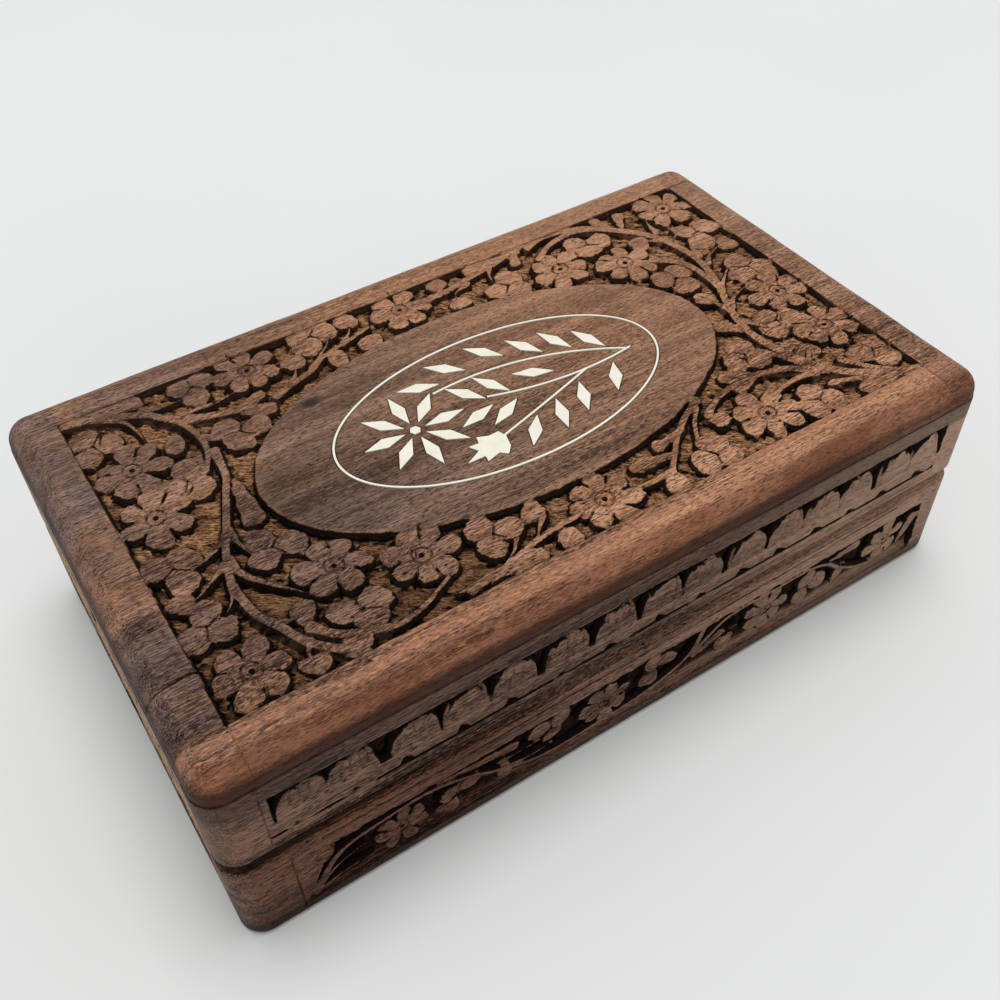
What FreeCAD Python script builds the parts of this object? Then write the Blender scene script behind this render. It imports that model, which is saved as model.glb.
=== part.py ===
"""Carved wooden jewelry box with an inlaid lid on two brass butt hinges.

Millimetres. The origin is the middle of the footprint on the table, +X runs along the length,
the front is at -Y, the hinges are at +Y and +Z is up. The lid is closed.
"""

import FreeCAD, Part
import os
import re

import Sketcher

SIZES = {
    # whole box
    "box_length": 254.0,
    "box_width": 149.0,
    "box_height": 76.0,
    "wall": 11.0,
    "corner_radius": 7.0,
    "split_height": 38.1,
    "rim_gap": 0.4,
    # base
    "base_bevel": 4.0,
    "base_foot_radius": 2.0,
    "bottom_thickness": 5.0,
    "rebate_width": 5.0,
    "bottom_fit": 0.2,
    # lid
    "panel_thickness": 8.4,
    "panel_step": 0.3,
    "panel_edge_radius": 7.0,
    "lid_rim_radius": 1.5,
    "lid_stop_bevel": 2.0,
    # carved field of the lid
    "field_end_margin": 14.7,
    "field_side_margin": 14.4,
    "field_depth": 2.4,
    "plaque_half_length": 76.2,
    "plaque_half_width": 42.1,
    "relief_drop": 0.6,
    "relief_root": 0.5,
    "petal_radius": 3.7,
    "petal_reach": 6.6,
    "eye_radius": 2.6,
    "eye_hole_radius": 0.7,
    "eye_hole_depth": 1.2,
    "vine_width": 2.4,
    # carved bands of the rails
    "band_end_margin": 16.0,
    "band_depth": 2.0,
    "lobe_pitch": 15.0,
    "lobe_gap_width": 10.0,
    "lobe_gap_top": 21.4,
    "lobe_gap_point": 12.7,
    "nick_width": 5.0,
    "nick_low": 6.6,
    "nick_high": 9.7,
    "vine_band_low": 7.0,
    "vine_band_high": 26.5,
    # inlay
    "inlay_depth": 1.2,
    "inlay_fit": 0.05,
    "chip_length": 13.0,
    "chip_width": 4.1,
    "chip_ring_radius": 9.8,
    "inlay_flower_x": -27.8,
    "inlay_flower_y": 0.2,
    "inlay_centre_radius": 1.7,
    "inlay_line_width": 0.65,
    "oval_half_length": 53.8,
    "oval_half_width": 28.1,
    "oval_x": 1.2,
    "oval_y": -0.8,
    # hinges
    "hinge_end_margin": 55.0,
    "hinge_length": 25.0,
    "hinge_inset": 2.5,
    "leaf_reach": 7.5,
    "leaf_thickness": 1.0,
    "barrel_radius": 1.8,
    "barrel_room": 0.25,
    "knuckle_gap": 0.15,
    "middle_knuckle_length": 9.0,
    "pin_radius": 0.9,
    "pin_running_fit": 0.05,
    "pin_press_fit": 0.01,
    "mortise_fit": 0.1,
    # screws and nails
    "screw_offset": 8.0,
    "screw_setback": 4.4,
    "screw_radius": 0.9,
    "screw_length": 7.0,
    "screw_head_radius": 1.8,
    "screw_slot_width": 0.5,
    "screw_slot_depth": 0.4,
    "screw_fit": 0.02,
    "nail_radius": 0.7,
    "nail_length": 14.0,
    "nail_head_radius": 1.4,
    "nail_head_height": 0.8,
    "nail_end_spacing": 50.0,
    "nail_side_spacing": 55.0,
    # lining
    "lining_thickness": 1.0,
    "floor_pad_thickness": 2.0,
    "lining_fit": 0.2,
    "lining_rim_drop": 1.5,
}

# Heights and half sizes worked out from the sizes above
BASE_TOP = "(split_height - rim_gap / 2)"
LID_RIM = "(split_height + rim_gap / 2)"
PANEL_LOW = "(box_height - panel_thickness)"
LID_RAIL_HEIGHT = f"({PANEL_LOW} - {LID_RIM})"
END_RAIL_LENGTH = "(box_width - 2 * wall)"
FIELD_HALF_X = "(box_length / 2 - field_end_margin)"
FIELD_HALF_Y = "(box_width / 2 - field_side_margin)"
HINGE_X = "(box_length / 2 - hinge_end_margin)"
HINGE_Y = "(box_width / 2 - hinge_inset)"
ROOM_HALF_X = "(box_length / 2 - wall)"
ROOM_HALF_Y = "(box_width / 2 - wall)"

# How often a form repeats
RELIEF_PETALS = 6
INLAY_PETALS = 8
CENTRE_CHIP_SIDES = 6
LOBE_GAPS_LONG = 14
LOBE_GAPS_END = 7
NAIL_STEPS_LONG = (-2, -1, 0, 1, 2)
NAIL_STEPS_END = (-1, 0, 1)

# Flowers of the lid's field, one half of a pattern that repeats when turned half a circle:
# distance from the left end of the field, height over the middle line, turn of the petals.
FIELD_FLOWERS = (
    (11.1, 30.7, 15.0),
    (9.8, 9.3, 0.0),
    (55.4, 52.3, 30.0),
    (108.7, 52.7, 20.0),
    (10.7, -50.2, 10.0),
    (42.2, -31.9, 25.0),
    (62.8, -41.7, 5.0),
)

# Vine stems of the same half, each an arc through three points given the same way.
FIELD_STEMS = (
    ((2.0, 59.0), (28.0, 42.0), (27.0, 14.0)),
    ((27.0, 14.0), (22.0, -8.0), (19.0, -20.0)),
    ((19.0, -20.0), (20.5, -38.0), (31.0, -53.0)),
    ((31.0, -53.0), (44.0, -57.0), (57.0, -53.5)),
    ((5.0, 58.5), (17.0, 49.0), (18.0, 37.0)),
    ((24.0, 46.0), (36.0, 40.0), (55.0, 34.5)),
    ((57.0, 36.5), (72.0, 41.0), (92.0, 47.5)),
    ((20.0, 53.5), (32.0, 51.5), (38.0, 51.0)),
)

# Flowers of the base's vine bands: place along the rail from its middle, height over the table.
LONG_BAND_FLOWERS = ((-79.8, 14.6), (-12.1, 18.0), (49.5, 17.4), (96.0, 18.0))
END_BAND_FLOWERS = ((-32.0, 15.5), (28.0, 17.5))

# Vine stems of those bands, arcs through three points: place along the rail, height over the table.
LONG_BAND_STEMS = (
    ((-106.0, 9.0), (-80.0, 24.5), (-54.0, 18.5)),
    ((-54.0, 18.5), (-34.0, 9.0), (-2.0, 10.0)),
    ((-2.0, 10.0), (16.0, 14.0), (24.0, 25.5)),
    ((20.0, 17.5), (30.0, 24.0), (46.0, 25.5)),
    ((62.0, 24.8), (76.0, 20.0), (86.0, 10.0)),
)
END_BAND_STEMS = (
    ((-54.0, 9.0), (-36.0, 25.0), (-14.0, 19.0)),
    ((-14.0, 19.0), (6.0, 9.5), (48.0, 10.5)),
)

# Diamond leaves of the inlay: middle of the chip and its turn from the box's length.
INLAY_LEAVES = (
    (-18.0, 15.6, -17.0),
    (-6.9, 18.9, -39.0),
    (7.0, 19.0, -48.5),
    (18.9, 14.4, -58.5),
    (28.4, 11.6, -67.0),
    (37.5, 6.4, -69.0),
    (-7.7, 5.6, -52.0),
    (0.9, 5.0, -60.0),
    (14.3, 2.5, -26.0),
    (-9.6, -4.7, 15.5),
    (-1.9, -7.7, 27.5),
    (0.7, -19.0, 51.5),
    (11.2, -17.3, 72.0),
    (20.8, -14.7, 67.5),
    (33.9, -12.8, 60.5),
)

# Thin inlaid stems, each an arc through three points. The upper and lower ones run into the middle one.
INLAY_STEMS = {
    "inlay_stem_middle": ((-3.0, 0.9), (20.0, -4.4), (46.0, -4.0)),
    "inlay_stem_upper": ((-15.6, 10.9), (12.3, 9.5), (44.4, -3.95)),
    "inlay_stem_lower": ((-10.0, -16.4), (11.7, -10.2), (28.6, -5.05)),
}

# Outline of the inlaid bud with its four fingers towards the inlaid flower.
INLAY_BUD = (
    (-7.5, -16.2),
    (-8.4, -13.5),
    (-11.6, -13.6),
    (-15.0, -12.2),
    (-15.6, -14.6),
    (-18.8, -14.4),
    (-17.2, -17.2),
    (-22.4, -19.8),
    (-16.8, -20.0),
    (-17.2, -22.2),
    (-12.8, -21.0),
    (-10.8, -22.8),
    (-8.6, -20.4),
)

# Turn of each rail about the upright axis, and the middle of its outer face.
RAIL_TURNS = {"front": 0.0, "right": 90.0, "back": 180.0, "left": -90.0}
RAIL_PLACES = {
    "front": ("0", "-box_width / 2"),
    "right": ("box_length / 2", "0"),
    "back": ("0", "box_width / 2"),
    "left": ("-box_length / 2", "0"),
}

doc = FreeCAD.newDocument("jewelry_box")
sheet = doc.addObject("Spreadsheet::Sheet", "Sizes")
nodes = []


def fill_sheet():
    """Write the driving dimensions into the sheet, one named cell each."""
    for row, (name, value) in enumerate(SIZES.items(), start=1):
        sheet.set(f"A{row}", name)
        sheet.set(f"B{row}", str(value))
        sheet.setAlias(f"B{row}", name)
    doc.recompute()


def tied(formula):
    """The formula with each size's name turned into its cell."""
    return re.sub(r"[a-z_]+", lambda word: f"Sizes.{word[0]}" if word[0] in SIZES else word[0], formula)


def measure(formula):
    """The number that a formula comes to."""
    return float(sheet.evalExpression(tied(formula)))


def tie(item, **formulas):
    """Bind properties of an object to formulas of sizes."""
    for name, formula in formulas.items():
        item.setExpression(name, tied(formula))


def place(item, x="0", y="0", z="0", turn=0.0, axis=(0, 0, 1)):
    """Turn an object about an axis and bind its place to formulas of sizes."""
    item.Placement = FreeCAD.Placement(FreeCAD.Vector(), FreeCAD.Rotation(FreeCAD.Vector(axis), turn))
    for letter, formula in zip("xyz", (x, y, z)):
        item.setExpression(f"Placement.Base.{letter}", tied(formula))
    return item


def node(item, name):
    """Give a finished sub-part its name."""
    item.Label = name
    nodes.append(item)
    return item


def new_body(name):
    return doc.addObject("PartDesign::Body", name)


def new_sketch(body, role, name, lift=None):
    """A sketch on one of the body's own origin planes, lifted off it by a formula if one is given."""
    sketch = body.newObject("Sketcher::SketchObject", name)
    plane = next(feature for feature in body.Origin.OriginFeatures if feature.Role == role)
    sketch.AttachmentSupport = [(plane, "")]
    sketch.MapMode = "FlatFace"
    if lift:
        sketch.setExpression("AttachmentOffset.Base.z", tied(lift))
    return sketch


def pin_point(sketch, line, point, across, up):
    """Hold a point of the sketch at two formulas from the sketch's origin."""
    for kind, formula in (("DistanceX", across), ("DistanceY", up)):
        rule = Sketcher.Constraint(kind, -1, 1, line, point, measure(formula))
        index = sketch.addConstraint(rule)
        sketch.setExpression(f"Constraints[{index}]", tied(formula))


def outline(sketch, corners):
    """A closed outline of straight lines through corners that are pairs of formulas."""
    first = sketch.GeometryCount
    spots = [FreeCAD.Vector(measure(across), measure(up), 0) for across, up in corners]
    for start, end in zip(spots, spots[1:] + spots[:1]):
        sketch.addGeometry(Part.LineSegment(start, end), False)
    for index, (across, up) in enumerate(corners):
        following = first + (index + 1) % len(corners)
        sketch.addConstraint(Sketcher.Constraint("Coincident", first + index, 2, following, 1))
        pin_point(sketch, first + index, 1, across, up)
    return sketch


def rectangle(sketch, low_x, high_x, low_y, high_y):
    return outline(sketch, ((low_x, low_y), (high_x, low_y), (high_x, high_y), (low_x, high_y)))


def circle(sketch, across, up, radius):
    centre = FreeCAD.Vector(measure(across), measure(up), 0)
    line = sketch.addGeometry(Part.Circle(centre, FreeCAD.Vector(0, 0, 1), measure(radius)), False)
    pin_point(sketch, line, 3, across, up)
    index = sketch.addConstraint(Sketcher.Constraint("Radius", line, measure(radius)))
    sketch.setExpression(f"Constraints[{index}]", tied(radius))
    return sketch


def pad(body, sketch, length, symmetric=False, downward=False):
    feature = body.newObject("PartDesign::Pad", f"{sketch.Name}_pad")
    feature.Profile = sketch
    feature.SideType = "Symmetric" if symmetric else "One side"
    feature.Reversed = downward
    tie(feature, Length=length)
    doc.recompute()
    return feature


def pocket(body, sketch, depth, reverse=False, symmetric=False):
    """Cut a sketch into the body, and make sure that it took material away."""
    before = body.Shape.Volume
    feature = body.newObject("PartDesign::Pocket", f"{sketch.Name}_cut")
    feature.Profile = sketch
    feature.SideType = "Symmetric" if symmetric else "One side"
    feature.Reversed = reverse
    tie(feature, Length=depth)
    doc.recompute()
    if body.Shape.Volume >= before:
        raise RuntimeError(f"{sketch.Name} cuts nothing")
    return feature


def row_of(body, feature, sketch, pitch, count):
    """Repeat a cut along the sketch's level axis."""
    pattern = body.newObject("PartDesign::LinearPattern", f"{feature.Name}_row")
    pattern.Originals = [feature]
    pattern.Direction = (sketch, ["H_Axis"])
    pattern.Occurrences = count
    tie(pattern, Length=f"{pitch} * {count - 1}")
    body.Tip = pattern
    doc.recompute()
    return pattern


def edges_where(feature, wanted):
    """Names of the feature's edges whose box passes a test."""
    names = []
    for index, edge in enumerate(feature.Shape.Edges, start=1):
        if wanted(edge.BoundBox):
            names.append(f"Edge{index}")
    return names


def near(value, target):
    return abs(value - target) < 1e-4


def soften(body, kind, size, wanted):
    """A fillet or chamfer of a formula's size on the edges that pass a test."""
    base = body.Tip
    feature = body.newObject(f"PartDesign::{kind}", f"{body.Name}_{kind.lower()}_{len(body.Group)}")
    feature.Base = (base, edges_where(base, wanted))
    tie(feature, **{"Radius" if kind == "Fillet" else "Size": size})
    doc.recompute()
    return feature


def copies(source, name, places, turn_axis=(0, 0, 1)):
    """Links to one source body, at places that are x, y, z formulas and a turn."""
    links = []
    for index, (x, y, z, turn) in enumerate(places, start=1):
        link = doc.addObject("App::Link", f"{name}_{index}")
        link.LinkedObject = source
        links.append(place(link, x, y, z, turn, turn_axis))
    return links


def group(links, name):
    compound = doc.addObject("Part::Compound", name)
    compound.Links = links
    return compound


def fuse(shapes, name):
    joined = doc.addObject("Part::MultiFuse", name)
    joined.Shapes = shapes
    return joined


def cut(base, tool, name):
    result = doc.addObject("Part::Cut", name)
    result.Base = base
    result.Tool = tool
    return result


def strip(points, width, low, high):
    """An upright strip of even width along the arc through three points, from one height to another."""
    start, middle, end = (FreeCAD.Vector(x, y, low) for x, y in points)
    bow = Part.Arc(start, middle, end).toShape().Curve
    centre = bow.Center
    sides = []
    for radius in (bow.Radius + width / 2, bow.Radius - width / 2):
        sides.append([centre + (point - centre).normalize() * radius for point in (start, middle, end)])
    outer, inner = sides
    border = Part.Wire(
        [
            Part.Arc(*outer).toShape(),
            Part.makeLine(outer[2], inner[2]),
            Part.Arc(*reversed(inner)).toShape(),
            Part.makeLine(inner[0], outer[0]),
        ]
    )
    return Part.Face(border).extrude(FreeCAD.Vector(0, 0, high - low))


def relief_flower():
    """Round petals about a drilled eye, lying at the local origin with its top face up."""
    body = new_body("relief_flower")
    height = "(field_depth - relief_drop + relief_root)"
    petal = circle(new_sketch(body, "XY_Plane", "flower_petal"), "petal_reach", "0", "petal_radius")
    first = pad(body, petal, height, downward=True)
    ring = body.newObject("PartDesign::PolarPattern", "flower_petals")
    ring.Originals = [first]
    ring.Axis = (petal, ["N_Axis"])
    ring.Angle = 360
    ring.Occurrences = RELIEF_PETALS
    body.Tip = ring
    doc.recompute()
    eye = circle(new_sketch(body, "XY_Plane", "flower_eye"), "0", "0", "petal_reach - petal_radius / 2")
    pad(body, eye, height, downward=True)
    hole = circle(new_sketch(body, "XY_Plane", "flower_eye_hole"), "0", "0", "eye_radius")
    circle(hole, "0", "0", "eye_hole_radius")
    pocket(body, hole, "eye_hole_depth / 2")
    return body


def relief_stems(name, stems, low, high):
    """Vine stems as one set of strips, from one height to another."""
    stem_set = doc.addObject("Part::Feature", name)
    first, *others = [strip(points, measure("vine_width"), low, high) for points in stems]
    stem_set.Shape = first.multiFuse(others)
    return stem_set


def field_place(inset, up, side):
    """A place on the field, on its left half or turned half a circle to the right half."""
    return f"{-side} * ({FIELD_HALF_X} - {inset})", f"{side} * {up}"


def field_stems(side):
    """The field's vine stems on one half."""
    low = measure("box_height - field_depth - relief_root")
    high = measure("box_height - relief_drop")
    stems = []
    for stem in FIELD_STEMS:
        spots = [field_place(inset, up, side) for inset, up in stem]
        stems.append([(measure(x), measure(y)) for x, y in spots])
    return relief_stems(f"field_stems_{'left' if side > 0 else 'right'}", stems, low, high)


def ellipse_block(name, half_length, half_width, x, y, low, height):
    """An upright block on an oval footprint."""
    edge = doc.addObject("Part::Ellipse", f"{name}_edge")
    tie(edge, MajorRadius=half_length, MinorRadius=half_width)
    block = doc.addObject("Part::Extrusion", name)
    block.Base = edge
    block.DirMode = "Custom"
    block.Dir = FreeCAD.Vector(0, 0, 1)
    block.Solid = True
    tie(block, LengthFwd=height)
    return place(block, x, y, low)


def inlay_chip(name, grow):
    """A diamond chip about the local origin, its top face on the local ground plane."""
    body = new_body(name)
    half_length = f"(chip_length / 2 + {grow})"
    half_width = f"(chip_width / 2 + {grow})"
    corners = ((half_length, "0"), ("0", half_width), (f"-{half_length}", "0"), ("0", f"-{half_width}"))
    pad(body, outline(new_sketch(body, "XY_Plane", f"{name}_outline"), corners), "inlay_depth", downward=True)
    return body


def leaf_places():
    return [(str(x), str(y), "box_height", turn) for x, y, turn in INLAY_LEAVES]


def petal_places():
    places = []
    for index in range(INLAY_PETALS):
        turn = 360 * index / INLAY_PETALS
        x = f"inlay_flower_x + chip_ring_radius * cos({turn} deg)"
        y = f"inlay_flower_y + chip_ring_radius * sin({turn} deg)"
        places.append((x, y, "box_height", turn))
    return places


def inlay_oval(name, grow):
    """The thin oval line as a ring."""
    low = "box_height - inlay_depth"
    wide = f"(inlay_line_width / 2 + {grow})"
    blocks = []
    for part, sign in (("outer", "+"), ("inner", "-")):
        half_length = f"oval_half_length {sign} {wide}"
        half_width = f"oval_half_width {sign} {wide}"
        blocks.append(
            ellipse_block(f"{name}_{part}", half_length, half_width, "oval_x", "oval_y", low, "inlay_depth")
        )
    return cut(*blocks, name)


def inlay_centre(name, grow):
    """The small round chip in the middle of the inlaid flower."""
    chip = doc.addObject("Part::Prism", name)
    chip.Polygon = CENTRE_CHIP_SIDES
    tie(chip, Circumradius=f"inlay_centre_radius + {grow}", Height="inlay_depth")
    return place(chip, "inlay_flower_x", "inlay_flower_y", "box_height - inlay_depth")


def inlay_bud(name, grow):
    """The inlaid bud from its outline, grown sideways for its seat."""
    low = measure("box_height - inlay_depth")
    corners = [FreeCAD.Vector(x, y, low) for x, y in INLAY_BUD]
    border = Part.makePolygon(corners + corners[:1])
    if grow:
        border = border.makeOffset2D(grow)
    bud = doc.addObject("Part::Feature", name)
    bud.Shape = Part.Face(border).extrude(FreeCAD.Vector(0, 0, measure("inlay_depth")))
    return bud


def inlay_stem(name, points, grow):
    """One thin inlaid stem, or its seat."""
    stem = doc.addObject("Part::Feature", name)
    width = measure("inlay_line_width") + 2 * grow
    stem.Shape = strip(points, width, measure("box_height - inlay_depth"), measure("box_height"))
    return stem


def inlay():
    """Every inlaid piece, and the tools that cut their seats into the plaque."""
    fit = measure("inlay_fit")
    chip = inlay_chip("chip", "0")
    seat_chip = inlay_chip("chip_seat", "inlay_fit")
    node(group(copies(chip, "leaf", leaf_places()), "leaves"), "inlay_leaves")
    node(group(copies(chip, "petal", petal_places()), "petals"), "inlay_flower_petals")
    node(inlay_oval("oval_line", "0"), "inlay_oval_line")
    node(inlay_centre("flower_centre", "0"), "inlay_flower_centre")
    node(inlay_bud("bud", 0), "inlay_bud")
    seats = copies(seat_chip, "leaf_seat", leaf_places() + petal_places())
    seats.append(inlay_oval("oval_seat", "inlay_fit"))
    seats.append(inlay_centre("centre_seat", "inlay_fit"))
    neighbours = [inlay_bud("bud_seat", fit)]
    for name, points in INLAY_STEMS.items():
        stem = inlay_stem(f"{name}_strip", points, 0)
        for other in neighbours:
            stem.Shape = stem.Shape.cut(other.Shape)
        node(stem, name)
        neighbours.append(inlay_stem(f"{name}_seat", points, fit))
    return group(seats + neighbours, "inlay_seats")


def lid_top_panel():
    """Round-edged panel with a sunk carved field round a raised oval plaque."""
    body = new_body("panel_blank")
    half_x = "(box_length / 2 - panel_step)"
    half_y = "(box_width / 2 - panel_step)"
    plan = rectangle(new_sketch(body, "XY_Plane", "panel_plan"), f"-{half_x}", half_x, f"-{half_y}", half_y)
    pad(body, plan, "panel_thickness")
    top = measure("panel_thickness")
    soften(body, "Fillet", "corner_radius", lambda box: near(box.ZLength, top))
    soften(body, "Fillet", "panel_edge_radius", lambda box: near(box.ZMin, top))
    field = new_sketch(body, "XY_Plane", "field", lift="panel_thickness")
    rectangle(field, f"-{FIELD_HALF_X}", FIELD_HALF_X, f"-{FIELD_HALF_Y}", FIELD_HALF_Y)
    pocket(body, field, "field_depth")
    place(body, z=PANEL_LOW)
    plaque = ellipse_block(
        "plaque",
        "plaque_half_length",
        "plaque_half_width",
        "0",
        "0",
        "box_height - field_depth - relief_root",
        "field_depth + relief_root",
    )
    flower = relief_flower()
    places = []
    for side in (1, -1):
        for inset, up, turn in FIELD_FLOWERS:
            places.append((*field_place(inset, up, side), "box_height - relief_drop", turn))
    shapes = [body, plaque, *copies(flower, "field_flower", places), field_stems(1), field_stems(-1)]
    carved = fuse(shapes, "panel_carved")
    node(cut(carved, inlay(), "panel"), "lid_top_panel")
    return flower


def rail_blank(name, length, height):
    """A plain rail, its outer face on the local XZ plane and its inner face at the wall's thickness."""
    body = new_body(name)
    half = f"({length} / 2)"
    face = rectangle(new_sketch(body, "XZ_Plane", f"{name}_face"), f"-{half}", half, "0", height)
    pad(body, face, "wall", downward=True)
    return body


def round_corners(body):
    """Round a long rail's two upright outer edges."""
    soften(body, "Fillet", "corner_radius", lambda box: near(box.YMax, 0) and box.XLength < 1 < box.ZLength)


def outer_rim(level, long_rail):
    """A test for the edges round the outer top or bottom of a rail."""
    inner = measure("wall")

    def wanted(box):
        level_edge = near(box.ZMin, level) and near(box.ZMax, level)
        on_face = near(box.YMin, 0)
        on_end = long_rail and near(box.XLength, 0) and near(box.YMax, inner)
        return level_edge and (on_face or on_end)

    return wanted


def lobe_band(body, name, count):
    """The lid rails' band: chip cuts between lobes above, small nicks below."""
    gap = new_sketch(body, "XZ_Plane", f"{name}_gap")
    start = f"(-lobe_pitch * {(count - 1) / 2})"
    corners = (
        (f"{start} - lobe_gap_width / 2", "lobe_gap_top"),
        (start, "lobe_gap_point"),
        (f"{start} + lobe_gap_width / 2", "lobe_gap_top"),
    )
    row_of(body, pocket(body, outline(gap, corners), "band_depth"), gap, "lobe_pitch", count)
    nicks = count + 1
    nick = new_sketch(body, "XZ_Plane", f"{name}_nick")
    start = f"(-lobe_pitch * {(nicks - 1) / 2})"
    corners = (
        (f"{start} - nick_width / 2", "nick_low"),
        (f"{start} + nick_width / 2", "nick_low"),
        (start, "nick_high"),
    )
    row_of(body, pocket(body, outline(nick, corners), "band_depth"), nick, "lobe_pitch", nicks)


def hinge_places():
    return (f"-{HINGE_X}", HINGE_X)


def hinge_mortise(name, leaf_low, leaf_high):
    """The room that a rail gives to both hinges: a seat for each leaf and a round groove for each barrel."""
    tools = []
    for index, x in enumerate(hinge_places()):
        body = new_body(f"{name}_{index}")
        half = "(hinge_length / 2 + mortise_fit)"
        seat = new_sketch(body, "YZ_Plane", f"{name}_{index}_seat")
        rectangle(seat, "-leaf_reach - mortise_fit", "0", leaf_low, leaf_high)
        pad(body, seat, f"2 * {half}", symmetric=True)
        groove = circle(
            new_sketch(body, "YZ_Plane", f"{name}_{index}_groove"), "0", "0", "barrel_radius + barrel_room"
        )
        pad(body, groove, f"2 * {half}", symmetric=True)
        tools.append(place(body, x, HINGE_Y, "split_height"))
    return tools


def screw_places(level, turn):
    """Places of the hinge screws on one leaf of each hinge."""
    places = []
    for hinge in hinge_places():
        for step in ("-screw_offset", "screw_offset"):
            places.append((f"{hinge} + {step}", f"{HINGE_Y} - screw_setback", level, turn))
    return places


def screw(name, grow):
    """A countersunk screw pointing down, its head's top at the local origin."""
    body = new_body(name)
    head = f"(screw_head_radius + {grow})"
    shank = f"(screw_radius + {grow})"
    neck = "(screw_radius - screw_head_radius)"
    end = f"(-screw_length - {grow})"
    corners = (("0", "0"), (head, "0"), (shank, neck), (shank, end), ("0", end))
    profile = outline(new_sketch(body, "XZ_Plane", f"{name}_profile"), corners)
    turned = body.newObject("PartDesign::Revolution", f"{name}_turned")
    turned.Profile = profile
    turned.ReferenceAxis = (profile, ["V_Axis"])
    turned.Angle = 360
    doc.recompute()
    return body


def hinge_screw():
    body = screw("screw", "0")
    slot = new_sketch(body, "XY_Plane", "screw_slot")
    half = "(screw_slot_width / 2)"
    rectangle(slot, "-screw_head_radius", "screw_head_radius", f"-{half}", half)
    pocket(body, slot, "screw_slot_depth")
    return body


def lid_rails():
    """Four rails under the lid's panel, the back one let in for the hinges."""
    for side in RAIL_TURNS:
        long_rail = side in ("front", "back")
        name = f"lid_{side}_blank"
        body = rail_blank(name, "box_length" if long_rail else END_RAIL_LENGTH, LID_RAIL_HEIGHT)
        if long_rail:
            round_corners(body)
        if side == "back":
            soften(body, "Chamfer", "lid_stop_bevel", outer_rim(0, True))
        else:
            soften(body, "Fillet", "lid_rim_radius", outer_rim(0, long_rail))
        lobe_band(body, f"lid_{side}", LOBE_GAPS_LONG if long_rail else LOBE_GAPS_END)
        place(body, *RAIL_PLACES[side], LID_RIM, RAIL_TURNS[side])
        if side != "back":
            node(body, f"lid_{side}_rail")
            continue
        tools = hinge_mortise("lid_mortise", "rim_gap / 2", "rim_gap / 2 + leaf_thickness")
        holes = copies(screw("lid_screw_hole", "screw_fit"), "lid_hole", screw_places(LID_RIM, 180.0), (1, 0, 0))
        node(cut(body, group(tools + holes, "lid_back_room"), "lid_back"), "lid_back_rail")


def base_rails(flower):
    """Four rails of the base with sunk vine bands, let in for the bottom and the hinges."""
    for side in RAIL_TURNS:
        long_rail = side in ("front", "back")
        name = f"base_{side}_blank"
        length = "box_length" if long_rail else END_RAIL_LENGTH
        body = rail_blank(name, length, BASE_TOP)
        if long_rail:
            round_corners(body)
        soften(body, "Chamfer", "base_bevel", outer_rim(measure(BASE_TOP), long_rail))
        soften(body, "Fillet", "base_foot_radius", outer_rim(0, long_rail))
        rebate_half = f"({ROOM_HALF_X} + rebate_width)" if long_rail else f"({length} / 2)"
        rebate = new_sketch(body, "XY_Plane", f"{name}_rebate")
        rectangle(rebate, f"-{rebate_half}", rebate_half, "wall - rebate_width", "wall")
        pocket(body, rebate, "bottom_thickness", reverse=True)
        band_half = "(box_length / 2 - band_end_margin)" if long_rail else "(box_width / 2 - band_end_margin)"
        band = new_sketch(body, "XZ_Plane", f"{name}_band")
        rectangle(band, f"-{band_half}", band_half, "vine_band_low", "vine_band_high")
        pocket(body, band, "band_depth")
        place(body, *RAIL_PLACES[side], "0", RAIL_TURNS[side])
        carved = carve_base_rail(body, side, long_rail, flower)
        if side != "back":
            node(carved, f"base_{side}_rail")
            continue
        tools = hinge_mortise("base_mortise", "-rim_gap / 2 - leaf_thickness", "-rim_gap / 2")
        holes = copies(screw("base_screw_hole", "screw_fit"), "base_hole", screw_places(BASE_TOP, 0.0))
        node(cut(carved, group(tools + holes, "base_back_room"), "base_back"), "base_back_rail")


def carve_base_rail(body, side, long_rail, flower):
    """Stand flowers and vine stems in a base rail's sunk band."""
    turn = FreeCAD.Rotation(FreeCAD.Vector(0, 0, 1), RAIL_TURNS[side])
    upright = FreeCAD.Rotation(FreeCAD.Vector(1, 0, 0), 90)
    centre = FreeCAD.Vector(*(measure(formula) for formula in (*RAIL_PLACES[side], "0")))
    frame = FreeCAD.Placement(centre, turn.multiply(upright))
    low = -measure("band_depth + relief_root")
    stems = LONG_BAND_STEMS if long_rail else END_BAND_STEMS
    stem_set = relief_stems(f"base_{side}_stems", stems, low, 0.0)
    stem_set.Placement = frame
    shapes = [body, stem_set]
    for index, (along, up) in enumerate(LONG_BAND_FLOWERS if long_rail else END_BAND_FLOWERS):
        link = doc.addObject("App::Link", f"base_{side}_flower_{index}")
        link.LinkedObject = flower
        link.Placement = frame.multiply(FreeCAD.Placement(FreeCAD.Vector(along, up, 0), FreeCAD.Rotation()))
        shapes.append(link)
    return fuse(shapes, f"base_{side}_carved")


def nail_places():
    """Places of the nails that hold the bottom up to the rails."""
    reach_x = f"({ROOM_HALF_X} + rebate_width / 2)"
    reach_y = f"({ROOM_HALF_Y} + rebate_width / 2)"
    places = []
    for side in ("-", ""):
        for step in NAIL_STEPS_LONG:
            places.append((f"{step} * nail_end_spacing", f"{side}{reach_y}", "0", 0.0))
        for step in NAIL_STEPS_END:
            places.append((f"{side}{reach_x}", f"{step} * nail_side_spacing", "0", 0.0))
    return places


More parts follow.
